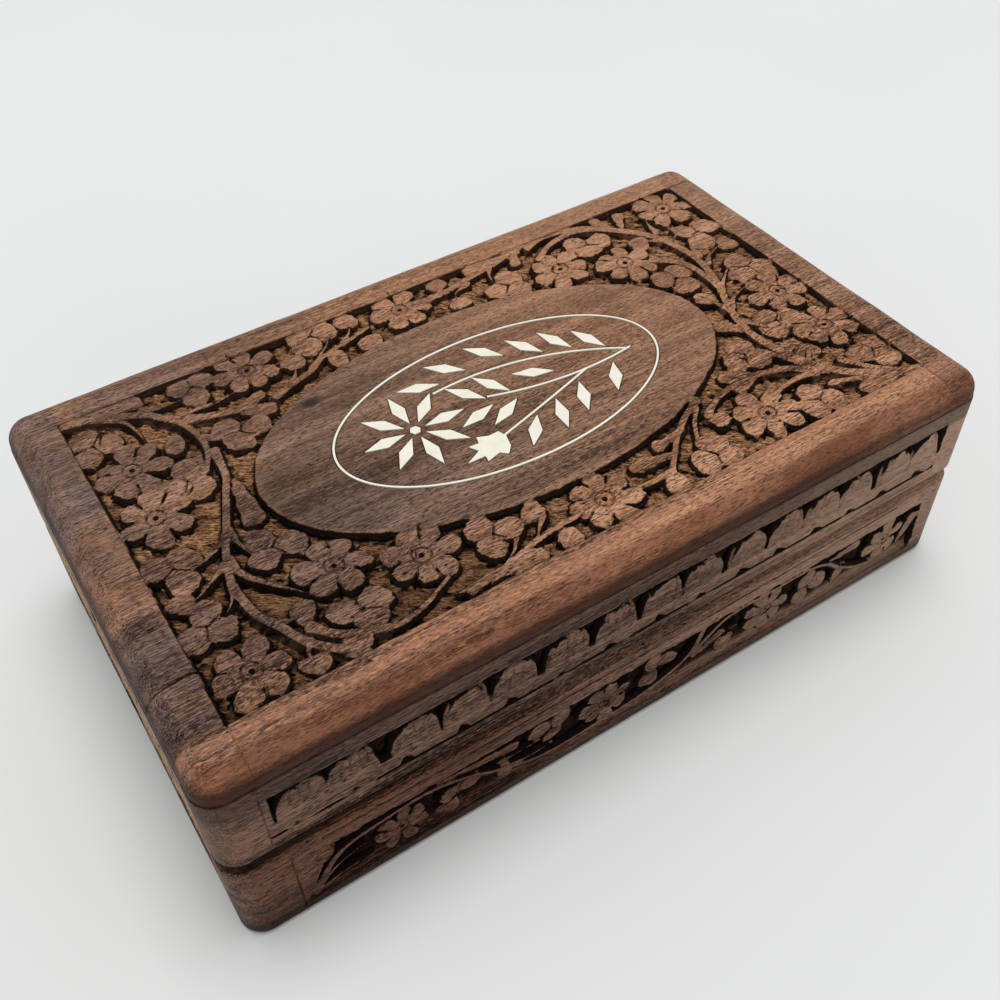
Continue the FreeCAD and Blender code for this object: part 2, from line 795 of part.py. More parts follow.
def nail(name, grow):
    """A flat-headed nail pointing up, its head's face on the local ground plane."""
    body = new_body(name)
    head = f"(nail_head_radius + {grow})"
    shank = f"(nail_radius + {grow})"
    tip = f"(nail_length + {grow})"
    corners = (("0", "0"), (head, "0"), (head, "nail_head_height"), (shank, "nail_head_height"), (shank, tip))
    profile = outline(new_sketch(body, "XZ_Plane", f"{name}_profile"), (*corners, ("0", tip)))
    turned = body.newObject("PartDesign::Revolution", f"{name}_turned")
    turned.Profile = profile
    turned.ReferenceAxis = (profile, ["V_Axis"])
    turned.Angle = 360
    doc.recompute()
    return body


def base_bottom():
    """The bottom panel in the rails' rebate, and its nails."""
    body = new_body("bottom_blank")
    half_x = f"({ROOM_HALF_X} + rebate_width - bottom_fit)"
    half_y = f"({ROOM_HALF_Y} + rebate_width - bottom_fit)"
    plan = rectangle(new_sketch(body, "XY_Plane", "bottom_plan"), f"-{half_x}", half_x, f"-{half_y}", half_y)
    pad(body, plan, "bottom_thickness")
    node(group(copies(nail("nail", "0"), "nail_copy", nail_places()), "nails"), "base_bottom_nails")
    return body


def hinge_leaf(name, upper):
    """A leaf with its knuckles: two outer ones on the lower leaf, the middle one on the upper leaf."""
    body = new_body(name)
    end = "(hinge_length / 2 + knuckle_gap)"
    sign = "" if upper else "-"
    near_face = f"{sign}rim_gap / 2"
    far_face = f"{sign}(rim_gap / 2 + leaf_thickness)"
    low, high = (near_face, far_face) if upper else (far_face, near_face)
    plate = rectangle(new_sketch(body, "YZ_Plane", f"{name}_plate"), "-leaf_reach", "0", low, high)
    pad(body, plate, "hinge_length", symmetric=True)
    barrel = circle(new_sketch(body, "YZ_Plane", f"{name}_barrel"), "0", "0", "barrel_radius")
    pad(body, barrel, "hinge_length", symmetric=True)
    middle_half = "(middle_knuckle_length / 2)"
    clear = new_sketch(body, "XY_Plane", f"{name}_clear")
    reach = "(barrel_radius + barrel_room)"
    if upper:
        gap = f"({middle_half} - knuckle_gap / 2)"
        for side in ("-", ""):
            low_x, high_x = (f"-{end}", f"-{gap}") if side else (gap, end)
            rectangle(clear, low_x, high_x, f"-{reach}", reach)
    else:
        gap = f"({middle_half} + knuckle_gap / 2)"
        rectangle(clear, f"-{gap}", gap, f"-{reach}", reach)
    pocket(body, clear, f"2 * {reach}", symmetric=True)
    bore_radius = "pin_radius + " + ("pin_running_fit" if upper else "pin_press_fit")
    bore = circle(new_sketch(body, "YZ_Plane", f"{name}_bore"), "0", "0", bore_radius)
    pocket(body, bore, "hinge_length", symmetric=True)
    return body


def hinges():
    """Two butt hinges: a leaf in each rim, a pin, and slotted screws."""
    for side, x in zip(("left", "right"), hinge_places()):
        for owner, upper, level, turn in (("base", False, BASE_TOP, 0.0), ("lid", True, LID_RIM, 180.0)):
            name = f"hinge_{side}_{owner}_leaf"
            leaf = place(hinge_leaf(f"{name}_blank", upper), x, HINGE_Y, "split_height")
            spots = [spot for spot in screw_places(level, turn) if spot[0].startswith(f"{x} ")]
            seats = copies(screw(f"{name}_seat", "screw_fit"), f"{name}_hole", spots, (1, 0, 0))
            node(cut(leaf, group(seats, f"{name}_seats"), f"{name}_drilled"), name)
        pin = doc.addObject("Part::Cylinder", f"hinge_{side}_rod")
        tie(pin, Radius="pin_radius", Height="hinge_length")
        place(pin, f"{x} - hinge_length / 2", HINGE_Y, "split_height", 90.0, (0, 1, 0))
        node(pin, f"hinge_{side}_pin")
    source = hinge_screw()
    base_screws = copies(source, "base_screw", screw_places(BASE_TOP, 0.0))
    node(group(base_screws, "base_screws"), "base_hinge_screws")
    lid_screws = copies(source, "lid_screw", screw_places(LID_RIM, 180.0), (1, 0, 0))
    node(group(lid_screws, "lid_screws"), "lid_hinge_screws")


def lining_block(name, low_x, high_x, low_y, high_y, low, height):
    """A flat piece of lining between two places each way."""
    block = doc.addObject("Part::Box", name)
    tie(block, Length=f"({high_x}) - ({low_x})", Width=f"({high_y}) - ({low_y})", Height=height)
    return node(place(block, low_x, low_y, low), f"{name}_lining")


def wall_linings(owner, low, height):
    """Linings on the four walls of the base or the lid."""
    x = ROOM_HALF_X
    y = ROOM_HALF_Y
    inner_y = f"({y} - lining_thickness - lining_fit)"
    lining_block(f"{owner}_front", f"-{x}", x, f"-{y}", f"-{y} + lining_thickness", low, height)
    lining_block(f"{owner}_back", f"-{x}", x, f"{y} - lining_thickness", y, low, height)
    lining_block(f"{owner}_left", f"-{x}", f"-{x} + lining_thickness", f"-{inner_y}", inner_y, low, height)
    lining_block(f"{owner}_right", f"{x} - lining_thickness", x, f"-{inner_y}", inner_y, low, height)


def linings():
    """Cloth linings of the base's floor, the lid's ceiling and all walls."""
    x = f"({ROOM_HALF_X} - lining_thickness - lining_fit)"
    y = f"({ROOM_HALF_Y} - lining_thickness - lining_fit)"
    lining_block("base_floor", f"-{x}", x, f"-{y}", y, "bottom_thickness", "floor_pad_thickness")
    lining_block(
        "lid_ceiling", f"-{x}", x, f"-{y}", y, f"{PANEL_LOW} - lining_thickness", "lining_thickness"
    )
    base_height = f"{BASE_TOP} - lining_rim_drop - bottom_thickness"
    wall_linings("base", "bottom_thickness", base_height)
    lid_low = f"({LID_RIM} + lining_rim_drop)"
    wall_linings("lid", lid_low, f"{PANEL_LOW} - {lid_low}")


def drill_for_nails(bottom):
    """Cut the nail holes through the bottom and up into the rails."""
    holes = group(copies(nail("nail_hole", "screw_fit"), "nail_hole_copy", nail_places()), "nail_holes")
    node(cut(bottom, holes, "bottom_drilled"), "base_bottom_panel")
    for index, item in enumerate(nodes):
        if item.Label.startswith("base_") and item.Label.endswith("_rail"):
            name = item.Label
            item.Label = f"{name}_undrilled"
            drilled = cut(item, holes, f"{name}_drilled")
            drilled.Label = name
            nodes[index] = drilled


def write_parts():
    """Check every object, then write one file for each sub-part."""
    doc.recompute()
    for item in doc.Objects:
        if "Invalid" in item.State or "Error" in item.State:
            raise RuntimeError(f"{item.Label} failed: {item.State}")
    for item in nodes:
        if item.Shape.isNull() or not item.Shape.isValid():
            raise RuntimeError(f"{item.Label} has no sound shape")
    os.makedirs("parts", exist_ok=True)
    for item in nodes:
        item.Shape.exportStep(f"parts/{item.Label}.step")
        print(item.Label, len(item.Shape.Solids), round(item.Shape.Volume, 1))


fill_sheet()
carved_flower = lid_top_panel()
lid_rails()
base_rails(carved_flower)
drill_for_nails(base_bottom())
hinges()
linings()
write_parts()
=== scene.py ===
"""Carved jewelry box: relief, cloth, materials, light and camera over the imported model.

Layouts are in millimetres, in the frame of the model: +X along the length, the front at -Y, +Z up.
"""

import math

import bpy
import numpy as np
from mathutils import Matrix, Vector


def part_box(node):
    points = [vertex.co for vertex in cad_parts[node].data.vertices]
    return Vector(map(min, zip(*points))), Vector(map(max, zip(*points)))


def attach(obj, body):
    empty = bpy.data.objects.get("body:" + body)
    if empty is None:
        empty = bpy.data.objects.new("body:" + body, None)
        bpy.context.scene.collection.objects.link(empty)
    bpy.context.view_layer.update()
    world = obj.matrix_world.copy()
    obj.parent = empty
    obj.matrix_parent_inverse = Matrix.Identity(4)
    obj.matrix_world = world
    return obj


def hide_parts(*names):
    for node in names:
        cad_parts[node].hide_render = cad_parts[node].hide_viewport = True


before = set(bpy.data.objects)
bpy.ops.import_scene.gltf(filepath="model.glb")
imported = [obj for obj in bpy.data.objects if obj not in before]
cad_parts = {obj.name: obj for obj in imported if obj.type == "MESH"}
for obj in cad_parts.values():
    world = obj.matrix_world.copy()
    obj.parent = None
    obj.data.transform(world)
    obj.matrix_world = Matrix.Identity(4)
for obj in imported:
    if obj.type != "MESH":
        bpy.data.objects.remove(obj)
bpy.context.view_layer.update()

MM = 0.001
SEED = 41
FAR = 1e3
TINY = 1e-9


def span(node):
    """Lowest and highest corner of a CAD node, in millimetres."""
    low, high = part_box(node)
    return np.array(low) / MM, np.array(high) / MM


# Sizes of the box, read from the model
PANEL_BOX_LOW, PANEL_BOX_HIGH = span("lid_top_panel")
FRONT_LOW, FRONT_HIGH = span("base_front_rail")
HALF_LENGTH = FRONT_HIGH[0]
HALF_WIDTH = -FRONT_LOW[1]
WALL = FRONT_HIGH[1] - FRONT_LOW[1]
HALF_END = span("base_left_rail")[1][1]
TOP = PANEL_BOX_HIGH[2]
PANEL_LOW = PANEL_BOX_LOW[2]
BASE_TOP = FRONT_HIGH[2]
LID_RIM = span("lid_front_rail")[0][2]
LEAF_LOW, LEAF_HIGH = span("hinge_right_base_leaf")

# Shape of the wood's edges, and of what is cut into the rails from inside
CORNER_RADIUS = 7.0
FLAT = HALF_LENGTH - CORNER_RADIUS
EDGE_WEAR = 0.12
BASE_BEVEL = 4.0
FOOT_RADIUS = 2.0
LID_RIM_RADIUS = 1.5
LID_STOP_BEVEL = 2.0
REBATE = 5.0
SEAT_FIT = 0.1
SEAT_DEPTH = 1.05
SEAT_GAPS = (0.95, 0.85)

# Turn of each side from the front, in degrees, and the sides with the long rails
SIDE_TURNS = {"front": 0, "right": 90, "back": 180, "left": -90}
LONG_SIDES = ("front", "back")

# The lid's sunk field and oval plaque
FIELD_HALF_X = HALF_LENGTH - 14.7
FIELD_HALF_Y = HALF_WIDTH - 14.4
PLAQUE_HALF_X = 76.2
PLAQUE_HALF_Y = 42.1
SURFACE = -0.08
GROUND = -2.3
RIGHT_RISE = 0.1
FIELD_WEAR = 0.35
PLAQUE_WEAR = 0.3
WEAR_WIDTH = 0.6

# Plan width of a carved wall, the rounding along the rim of a carved form, and how far its outline strays
WALL_WIDTH = 0.5
RIM_DROP = 0.28
RIM_WIDTH = 0.5
STRAY_FINE = 0.25
STRAY_BROAD = 0.45
MARGIN = WALL_WIDTH + STRAY_FINE + STRAY_BROAD

# How far a lobe tilts, how much lower a petal may lie, and a leaf's half width at its stalk and its lean
LOBE_TILT = 0.14
PETAL_DROP = 0.45
LEAF_STALK = 0.7
LEAF_LEAN = 0.25

# Flowers: the chance of seven petals and not six, then petals and eye as shares of the flower's reach
SEVEN_PETALS = 0.6
PETAL_STRAY = 0.15
PETAL_SIZES = (0.9, 1.07)
PETAL_SPREAD = 0.6
PETAL_LONG = 0.42
PETAL_WIDE = {7: 0.31, 6: 0.36}
PETAL_FLARE = 0.18
EYE_REACH = 0.45
EYE_DROP = 0.35
# Cuts between two petals and rings of the eye: shares of the reach, then half width and depth
PETAL_CUTS = ((0.32, 0.68, 0.3, 0.45), (0.6, 0.95, 0.36, 0.8))
EYE_RINGS = ((0.25, 0.42, 0.65), (0.13, 0.3, 0.3))
EYE_HOLE = 0.07
EYE_HOLE_DEPTH = 2.0

# Other fine cuts: half width and depth
LEAF_CUT = (0.3, 0.3)
SPRIG_CUT = (0.34, 0.7)
BUD_CUT = (0.4, 0.5)
FIELD_CUT = (0.35, 0.45)
CRACK_CUT = (0.4, 0.9)
KNOT_CUT = (0.4, 0.3)
FLUTE_CUT = (0.45, 0.4)
LID_CUT = (0.6, 1.3)
FAINT_CUT = (0.4, 0.5)
BASE_CUT = (0.45, 0.8)
END_CUT = (0.3, 0.4)

# Strokes of the gouge in the lid's ground: their sizes, turn in radians and greatest depth under the level
GOUGE_COUNT = 6000
GOUGE_LONG = (1.4, 3.6)
GOUGE_WIDE = (0.5, 1.0)
GOUGE_DEPTH = 0.75
GOUGE_TURN = -0.55
GOUGE_SPREAD = 0.4
GOUGE_DEEPEST = 0.8

# Grid steps of the surfaces, the most triangles in one piece and the least angle of a sharp edge
PANEL_STEP = 0.28
RAIL_STEP = 0.34
MOST_TRIANGLES = 190000
LINE_STEP = 1.2
CLOTH_STEP = 2.5
CLOTH_ROUND = 1.6
SHARP_ANGLE = 40.0

# Middles of the lid's carved flowers
FLOWERS = (
    (-101.3, 30.8), (-102.4, 9.8), (-56.8, 52.6), (-3.4, 52.8), (52.1, 42.0), (72.1, 32.7), (103.3, 51.5),
    (-70.3, -31.6), (-49.8, -41.0), (-101.5, -50.0), (1.2, -51.4), (60.6, -50.0), (103.3, -7.6),
    (103.2, -29.0),
)
FLOWER_REACH = 10.4

# Three-lobed sprigs: the middle of each lobe
TREFOILS = (
    ((-108.5, 50.0), (-103.0, 45.5), (-110.0, 42.5)), ((-72.5, 32.5), (-71.0, 26.0), (-64.5, 28.5)),
    ((-76.5, 56.5), (-71.0, 56.5), (-74.0, 50.5)), ((-88.0, 22.0), (-94.0, 17.5), (-88.0, 14.5)),
    ((-36.0, 58.5), (-36.0, 53.0), (-29.0, 57.0)), ((28.5, 43.5), (34.0, 41.0), (35.0, 47.0)),
    ((64.5, 51.0), (67.0, 46.0), (72.0, 48.0)), ((100.5, 36.5), (108.0, 35.0), (102.0, 28.5)),
    ((77.0, 18.0), (83.5, 19.0), (81.0, 11.5)), ((101.0, 6.5), (108.5, 5.0), (103.0, 12.0)),
    ((-109.0, -7.5), (-102.0, -8.0), (-104.5, -14.5)), ((-104.0, -28.0), (-109.5, -34.0), (-102.5, -34.0)),
    ((-83.0, -13.0), (-84.0, -19.5), (-75.5, -18.0)), ((-75.0, -46.0), (-67.0, -47.0), (-70.0, -51.0)),
    ((-32.5, -42.0), (-32.5, -48.0), (-26.5, -45.5)), ((34.0, -55.5), (40.0, -57.5), (39.0, -51.5)),
    ((74.0, -23.0), (69.0, -27.0), (74.5, -29.5)), ((90.5, -16.0), (89.0, -21.5), (96.5, -20.0)),
    ((103.0, -45.5), (109.0, -43.0), (108.0, -50.0)), ((77.5, -50.5), (73.5, -56.0), (80.5, -55.5)),
)
TREFOIL_LOBE = 4.4

# Single round buds
BUDS = (
    (-87.5, 34.5), (-43.5, 48.5), (-20.5, 57.5), (-18.5, 44.0), (-31.0, 42.0), (13.5, 58.0), (15.0, 45.5),
    (83.5, 39.0), (107.5, 22.5), (81.5, 2.5), (-108.0, -21.5), (-83.5, -40.5), (-88.0, -56.5), (-17.5, -44.5),
    (-14.5, -58.0), (21.5, -57.5), (47.5, -44.5), (90.5, -35.5), (-76.5, -57.0),
)
BUD_RADIUS = 3.7

# Leaves, each from its stalk to the middle of its blunt end, and half its greatest width
LEAVES = (
    ((-110.0, 60.0), (-90.5, 57.6), 2.7), ((-66.0, 37.5), (-58.5, 40.2), 2.4),
    ((-66.0, 36.5), (-58.0, 33.4), 2.5), ((46.0, 58.8), (26.5, 58.4), 2.6),
    ((44.0, 58.0), (41.8, 53.6), 2.1), ((81.0, 51.0), (78.6, 58.4), 2.2),
    ((84.0, 50.0), (86.8, 56.6), 2.5), ((36.0, -41.5), (26.0, -43.3), 2.2),
    ((29.0, -48.2), (16.5, -46.4), 2.6), ((69.0, -34.6), (60.8, -31.4), 2.3),
    ((69.0, -36.0), (61.8, -37.0), 2.3), ((82.0, -17.5), (76.4, -11.6), 2.5),
    ((-48.0, -57.0), (-24.0, -58.0), 2.5), ((110.0, -59.0), (92.5, -57.6), 2.5),
    ((-79.0, 12.0), (-80.2, -4.0), 3.4),
)

# Vine stems of the lid: half widths at the root and at the tip, then the points they run through
STEMS = (
    (1.8, 0.9, ((-112, 60), (-105, 57.5), (-100, 54.5), (-96, 51), (-94.5, 46), (-94, 40), (-94.5, 36))),
    (2.0, 1.3, ((-108, 59), (-97, 54.5), (-90, 51), (-86, 46.5), (-82.5, 42), (-80.5, 36), (-80, 30),
                (-81, 25), (-84, 19))),
    (1.8, 1.8, ((-79, 25), (-80, 15), (-82, 10), (-85, 3), (-88, -4), (-92, -13), (-94, -20), (-94.5, -28),
                (-93, -36), (-90, -42), (-87, -49), (-82, -55), (-78, -57))),
    (1.4, 0.8, ((-90, 53.5), (-85, 51.5), (-78, 51))),
    (1.7, 0.8, ((-84, 45), (-75, 44.5), (-70, 44.3), (-63, 45.5))),
    (2.0, 1.2, ((-80, 42), (-70, 38.5), (-62, 36), (-57, 34))),
    (1.2, 0.8, ((-79, 32), (-76, 29), (-74, 28))),
    (1.6, 1.0, ((-54, 37), (-45, 40), (-40, 41.5), (-35, 45), (-30, 47), (-25, 48), (-16, 50.5))),
    (1.3, 0.7, ((-40, 42), (-35, 46.5), (-31, 50), (-28, 54))),
    (1.2, 0.7, ((-48, 39.5), (-45, 43), (-43.5, 47))),
    (1.1, 0.7, ((-26, 48), (-22, 52), (-20.5, 56))),
    (1.7, 1.3, ((6, 52.5), (15, 53), (22, 54.5), (30, 56), (36, 57), (47, 60), (55, 61))),
    (1.2, 0.8, ((33, 56.5), (30.5, 52), (29.5, 48))),
    (1.0, 0.8, ((22, 52.5), (16, 50), (15, 47))),
    (1.5, 2.2, ((50, 51), (57, 55.5), (66, 57.5), (72, 56.5), (77, 53.5), (83, 48), (88, 42), (91, 36),
                (93, 28), (93.5, 22), (92.5, 15), (90.5, 8), (87, 0), (84.5, -6), (82.5, -12), (81.5, -19),
                (82, -26), (84, -34), (87, -42), (92, -49), (97, -53), (103, -57), (107, -59))),
    (1.2, 1.5, ((50, 58.5), (58, 60.5), (66, 59.5), (73, 57), (79, 51.5))),
    (1.3, 1.8, ((80.5, 29), (85, 25), (88.5, 20), (89.5, 12), (89, 5), (87.5, 0))),
    (1.2, 0.7, ((92, 41), (92.5, 46), (94, 50))),
    (1.3, 0.7, ((95.5, 22), (96, 27), (99, 32))),
    (1.2, 0.7, ((95, 17), (98, 20), (104, 22.5))),
    (1.4, 0.8, ((88, 2), (92, 6), (97, 10), (100, 12))),
    (1.6, 0.8, ((85, -6), (90, -2), (97, 0))),
    (1.0, 0.8, ((91, 36), (87, 38), (84, 39))),
    (1.0, 0.8, ((84, -6), (82.5, -2), (81.5, 2))),
    (1.6, 0.8, ((-88, -5), (-94, -10), (-101, -13))),
    (1.4, 0.8, ((-94, -16), (-100, -20), (-105, -23))),
    (1.3, 0.7, ((-94.5, -22), (-97, -28), (-100, -31))),
    (1.4, 0.9, ((-88, -6), (-87, -13), (-85.5, -18))),
    (1.8, 0.9, ((-92, -15), (-91, -21), (-88, -26), (-84, -31), (-80, -36))),
    (1.2, 0.8, ((-91, -40), (-87, -41.5), (-84, -41))),
    (1.2, 0.8, ((-86, -50), (-88, -53), (-88, -56))),
    (1.8, 1.0, ((-84, -46), (-80, -51), (-76, -53.5), (-70, -56), (-65, -57), (-58, -56), (-48, -51.5))),
    (1.3, 0.8, ((-25, -48), (-29, -53), (-34, -56))),
    (1.1, 0.7, ((-16, -47), (-20, -51), (-24, -54.5))),
    (1.6, 1.2, ((-45, -58), (-34, -56.5), (-20, -53), (-7, -52))),
    (1.6, 1.4, ((47, -34.5), (40, -38), (33, -43), (27, -49), (22, -53), (12, -53))),
    (1.5, 1.6, ((46, -41), (50, -38.5), (56, -36), (67, -35), (78, -38), (83, -42), (88, -46))),
    (1.0, 1.5, ((66, -46), (72, -44), (80, -43.5), (85, -45))),
    (0.9, 1.3, ((77.5, -28), (80, -31), (83, -37), (85, -42))),
    (1.0, 1.8, ((85, -50.5), (92, -53), (97, -55.5), (112, -60))),
    (1.0, 1.5, ((95, -44), (98, -49), (102, -54), (107, -58.5))),
    (0.9, 1.2, ((36, -52), (37, -47), (41, -41), (45, -37))),
    (0.9, 1.1, ((21.5, -57), (23, -54), (25, -51))),
    (0.9, 1.1, ((90.5, -36), (88, -38), (86.5, -41))),
    (0.9, 1.2, ((89, -20), (86, -17), (83, -13))),
)

# The lid's carving, and the level of each kind of form under the uncut surface
LID_LAYOUT = ([(*middle, FLOWER_REACH) for middle in FLOWERS], TREFOILS, BUDS, LEAVES, STEMS)
LID_LEVELS = {"stem": -0.5, "leaf": -0.4, "bud": -0.5, "trefoil": -0.45, "flower": -0.3}

# A stem's blade: narrow and nearly flat, with a hollow slope from its front edge down to the ground
STEM_WIDTH = 0.62
STEM_POINT = 0.25
STEM_RIM = 0.04
STEM_STRAY = 0.12
STEM_LEAN = 0.3
BROAD_TIP = 1.0
ROOT_FLARE = 0.5
ROOT_REACH = 3.0
FRONT_WAY = (-0.7, -0.71)
SCOOP_RUN = 3.0
SCOOP_FULL = 0.9
SCOOP_DEPTH = 0.5

# A knot in the plaque, a crack in the lid's left border, and the seam round the inlay
KNOT = (-47.5, 28.0)
KNOT_HALF = (3.4, 2.2)
CRACK = ((-111.7, -43.4), (-115.0, -42.9), (-118.4, -43.3), (-120.0, -43.4))
SEAM_WIDTH = 0.42
SEAM_DEPTH = 0.5

# Layout of the front of the base: flowers with their reach, sprigs, buds, leaves and stems, along and up
BASE_FLOWERS = ((-79.8, 14.6, 8.0), (-12.1, 17.6, 9.0), (49.5, 17.2, 8.8), (100.3, 17.8, 8.6))
BASE_TREFOILS = (
    ((-64.8, 16.3), (-58.4, 17.6), (-65.7, 10.0)), ((-34.9, 22.0), (-27.9, 23.0), (-30.5, 17.0)),
    ((5.1, 23.0), (10.8, 21.4), (3.8, 16.3)), ((66.0, 20.1), (71.1, 16.9), (64.8, 12.5)),
)
BASE_BUDS = ((-102.0, 22.3), (33.7, 12.5), (81.3, 13.8))
BASE_LEAVES = (
    ((-68.0, 25.0), (-44.5, 21.8), 2.4), ((-47.0, 18.0), (-46.8, 10.6), 2.6),
    ((74.0, 22.5), (86.0, 23.6), 2.3), ((21.5, 14.0), (31.0, 18.4), 2.0), ((108.5, 11.0), (113.0, 21.5), 2.2),
)
BASE_STEMS = (
    (1.6, 1.5, ((-106, 9.3), (-97.8, 20.1), (-85, 23.3), (-70, 23.9), (-58.4, 20.1), (-50.8, 15.7),
                (-35.6, 9.3), (-19, 8.7), (0, 10), (12.7, 13.1), (20.3, 18.2), (24.1, 27))),
    (1.4, 0.7, ((-107, 7.5), (-100, 14), (-91, 17.5))),
    (1.2, 0.7, ((-107, 6.5), (-98, 9.5), (-89, 9.5))),
    (1.2, 0.8, ((-48, 18.5), (-42, 18), (-35, 18))),
    (1.2, 0.8, ((-44, 13.5), (-37, 12.6), (-30.5, 13.1))),
    (1.6, 1.2, ((21, 16.5), (27, 21.4), (33, 25), (43, 25.6), (56, 25.2), (66, 25.2), (75, 22), (81.3, 16.3),
                (89, 11.9), (95, 10))),
    (1.0, 0.8, ((21.5, 15), (29, 18.2), (38, 18.2))),
)
BASE_LAYOUT = (BASE_FLOWERS, BASE_TREFOILS, BASE_BUDS, BASE_LEAVES, BASE_STEMS)
BASE_LEVELS = {"stem": -0.2, "leaf": -0.15, "bud": -0.1, "trefoil": -0.1, "flower": -0.05}
BASE_BUD = 3.2
BASE_LOBE = 3.5

# The base rails' band: its height over the table, the slope at its foot and its depth, then how far up the
# bevel over it the painted shade under the lid's rim begins, from the left end to the middle
BAND_LOW = 4.6
BAND_SLOPE = 7.0
BAND_HIGH = 26.5
BAND_GROUND = -2.4
BEVEL_SHADE_RISE = (0.1, 1.4, 2.0)
# The band's ends: how far each lies from the end of the rail at its foot and at its top
BAND_LEFT = (18.0, 27.5)
BAND_RIGHT = (11.5, 12.5)
END_BAND = (6.0, 6.0)
# How far the layout is moved along to bring its middle part onto an end rail
END_SHIFT = 22.0

# The lid rails' band: lobes along a ledge, chip cuts between them and small nicks below
LOBES = (-103.8, -90.2, -72.6, -57.8, -43.2, -26.3, -10.7, 5.1, 19.7, 35.6, 50.2, 64.1, 78.1, 93.3, 106.0)
NICKS = (-106.4, -90.2, -75.8, -59.1, -44.4, -28.6, -12.1, 4.8, 19.7, 34.9, 48.9, 63.5, 77.1, 90.4, 105.7)
# Rounds that make up one lobe: place beside its middle, height over the table, half length, half height
LOBE_ROUNDS = (
    (0.4, 50.8, 6.1, 9.0), (-4.2, 51.0, 2.6, 6.2), (4.4, 51.4, 2.4, 7.2), (1.8, 57.2, 2.4, 3.5),
    (-1.8, 56.2, 2.2, 3.2),
)
LOBE_FLUTES = (-3.0, -0.4, 2.2, 4.4)
LOBE_END = 7.4
LOBE_TOP = 61.2
LOBE_FOOT = 50.6
NICK_LOW = 44.7
NICK_HIGH = 48.0
NICK_HALF = 2.6
NICK_DEPTH = 1.6
LID_SCRIBE = 44.4
LID_FAINT_SCRIBES = (40.6, 41.8)
BASE_SCRIBE = 31.8
SCRIBE_END = 14.0

# Strokes in the cut ground, per millimetre, and their turn in degrees
STROKE_SCALE = (0.55, 2.3, 1.1)
STROKE_TURN = -32.0
TEAR_SCALE = (0.22, 1.3, 0.8)

# Screen colours of the open pores, the joint under the lid's panel, and the dirt and painted shade in the
# rails' recesses
PORE_TONE = (24, 14, 9)
JOINT_TONE = (24, 15, 11)
RECESS_DIRT_AND_SHADE = (6, 3, 2)

# The floor's half size and its level under the box, in millimetres
FLOOR_HALF = 3000.0
FLOOR_LEVEL = -0.05

# Light: the way to its brightest part, the sky's strength away from and towards it, and the sun
BRIGHT_WAY = (0.1, 0.08, 1.0)
SKY_DIM = 0.52
SKY_BRIGHT = 0.66
SUN_STRENGTH = 1.1
SUN_SPREAD = 30.0

# Camera of the photograph
CAMERA_PLACE = (-0.133052, -0.21404, 0.295819)
CAMERA_AZIMUTH = -31.856
CAMERA_ELEVATION = 46.444
CAMERA_ROLL = -1.548
CAMERA_LENS = 40.674
SENSOR = 36.0


def value_noise(rng, shape, cells):
    """A smooth random field from -1 to 1 on a grid, drawn on a coarse lattice of cells."""
    lattice = rng.uniform(-1, 1, (cells[0] + 2, cells[1] + 2))
    fades = []
    for count, size in zip(shape, cells):
        place = np.linspace(0, size, count)
        whole = np.floor(place).astype(int)
        part = place - whole
        fades.append((whole, part * part * (3 - 2 * part)))
    (rows, down), (columns, across) = fades
    down = down[:, None]
    upper = lattice[rows][:, columns] * (1 - across) + lattice[rows][:, columns + 1] * across
    lower = lattice[rows + 1][:, columns] * (1 - across) + lattice[rows + 1][:, columns + 1] * across
    return upper * (1 - down) + lower * down


def blurred(values, reach):
    """Mean of the values in a square window."""
    width = 2 * reach + 1
    for axis in (0, 1):
        margins = [(0, 0), (0, 0)]
        margins[axis] = (reach + 1, reach)
        sums = np.cumsum(np.pad(values, margins, mode="edge"), axis=axis)
        size = values.shape[axis]
        high = np.take(sums, range(width, width + size), axis=axis)
        low = np.take(sums, range(size), axis=axis)
        values = (high - low) / width
    return values


def smooth_line(points):
    """Close points on a smooth line through the given ones."""
    knots = np.array(points, float)
    ends = np.vstack((2 * knots[0] - knots[1], knots, 2 * knots[-1] - knots[-2]))
    line = []
    for before, start, end, after in zip(ends, ends[1:], ends[2:], ends[3:]):
        count = max(2, int(np.hypot(*(end - start)) / LINE_STEP))
        for t in np.arange(count) / count:
            bend = 2 * before - 5 * start + 4 * end - after
            turn = 3 * start - before - 3 * end + after
            line.append(0.5 * (2 * start + (end - before) * t + bend * t**2 + turn * t**3))
    line.append(knots[-1])
    return np.array(line)


def ring(x, y, half_x, half_y):
    """Points round an oval."""
    turns = np.linspace(0, math.tau, 25)
    return np.stack((x + half_x * np.cos(turns), y + half_y * np.sin(turns)), axis=1)


def unit(values):
    """The values kept from 0 to 1."""
    return np.clip(values, 0, 1)


def ease(values, width):
    """1 where the values are 0, and less away from there."""
    return np.exp(-((values / width) ** 2))


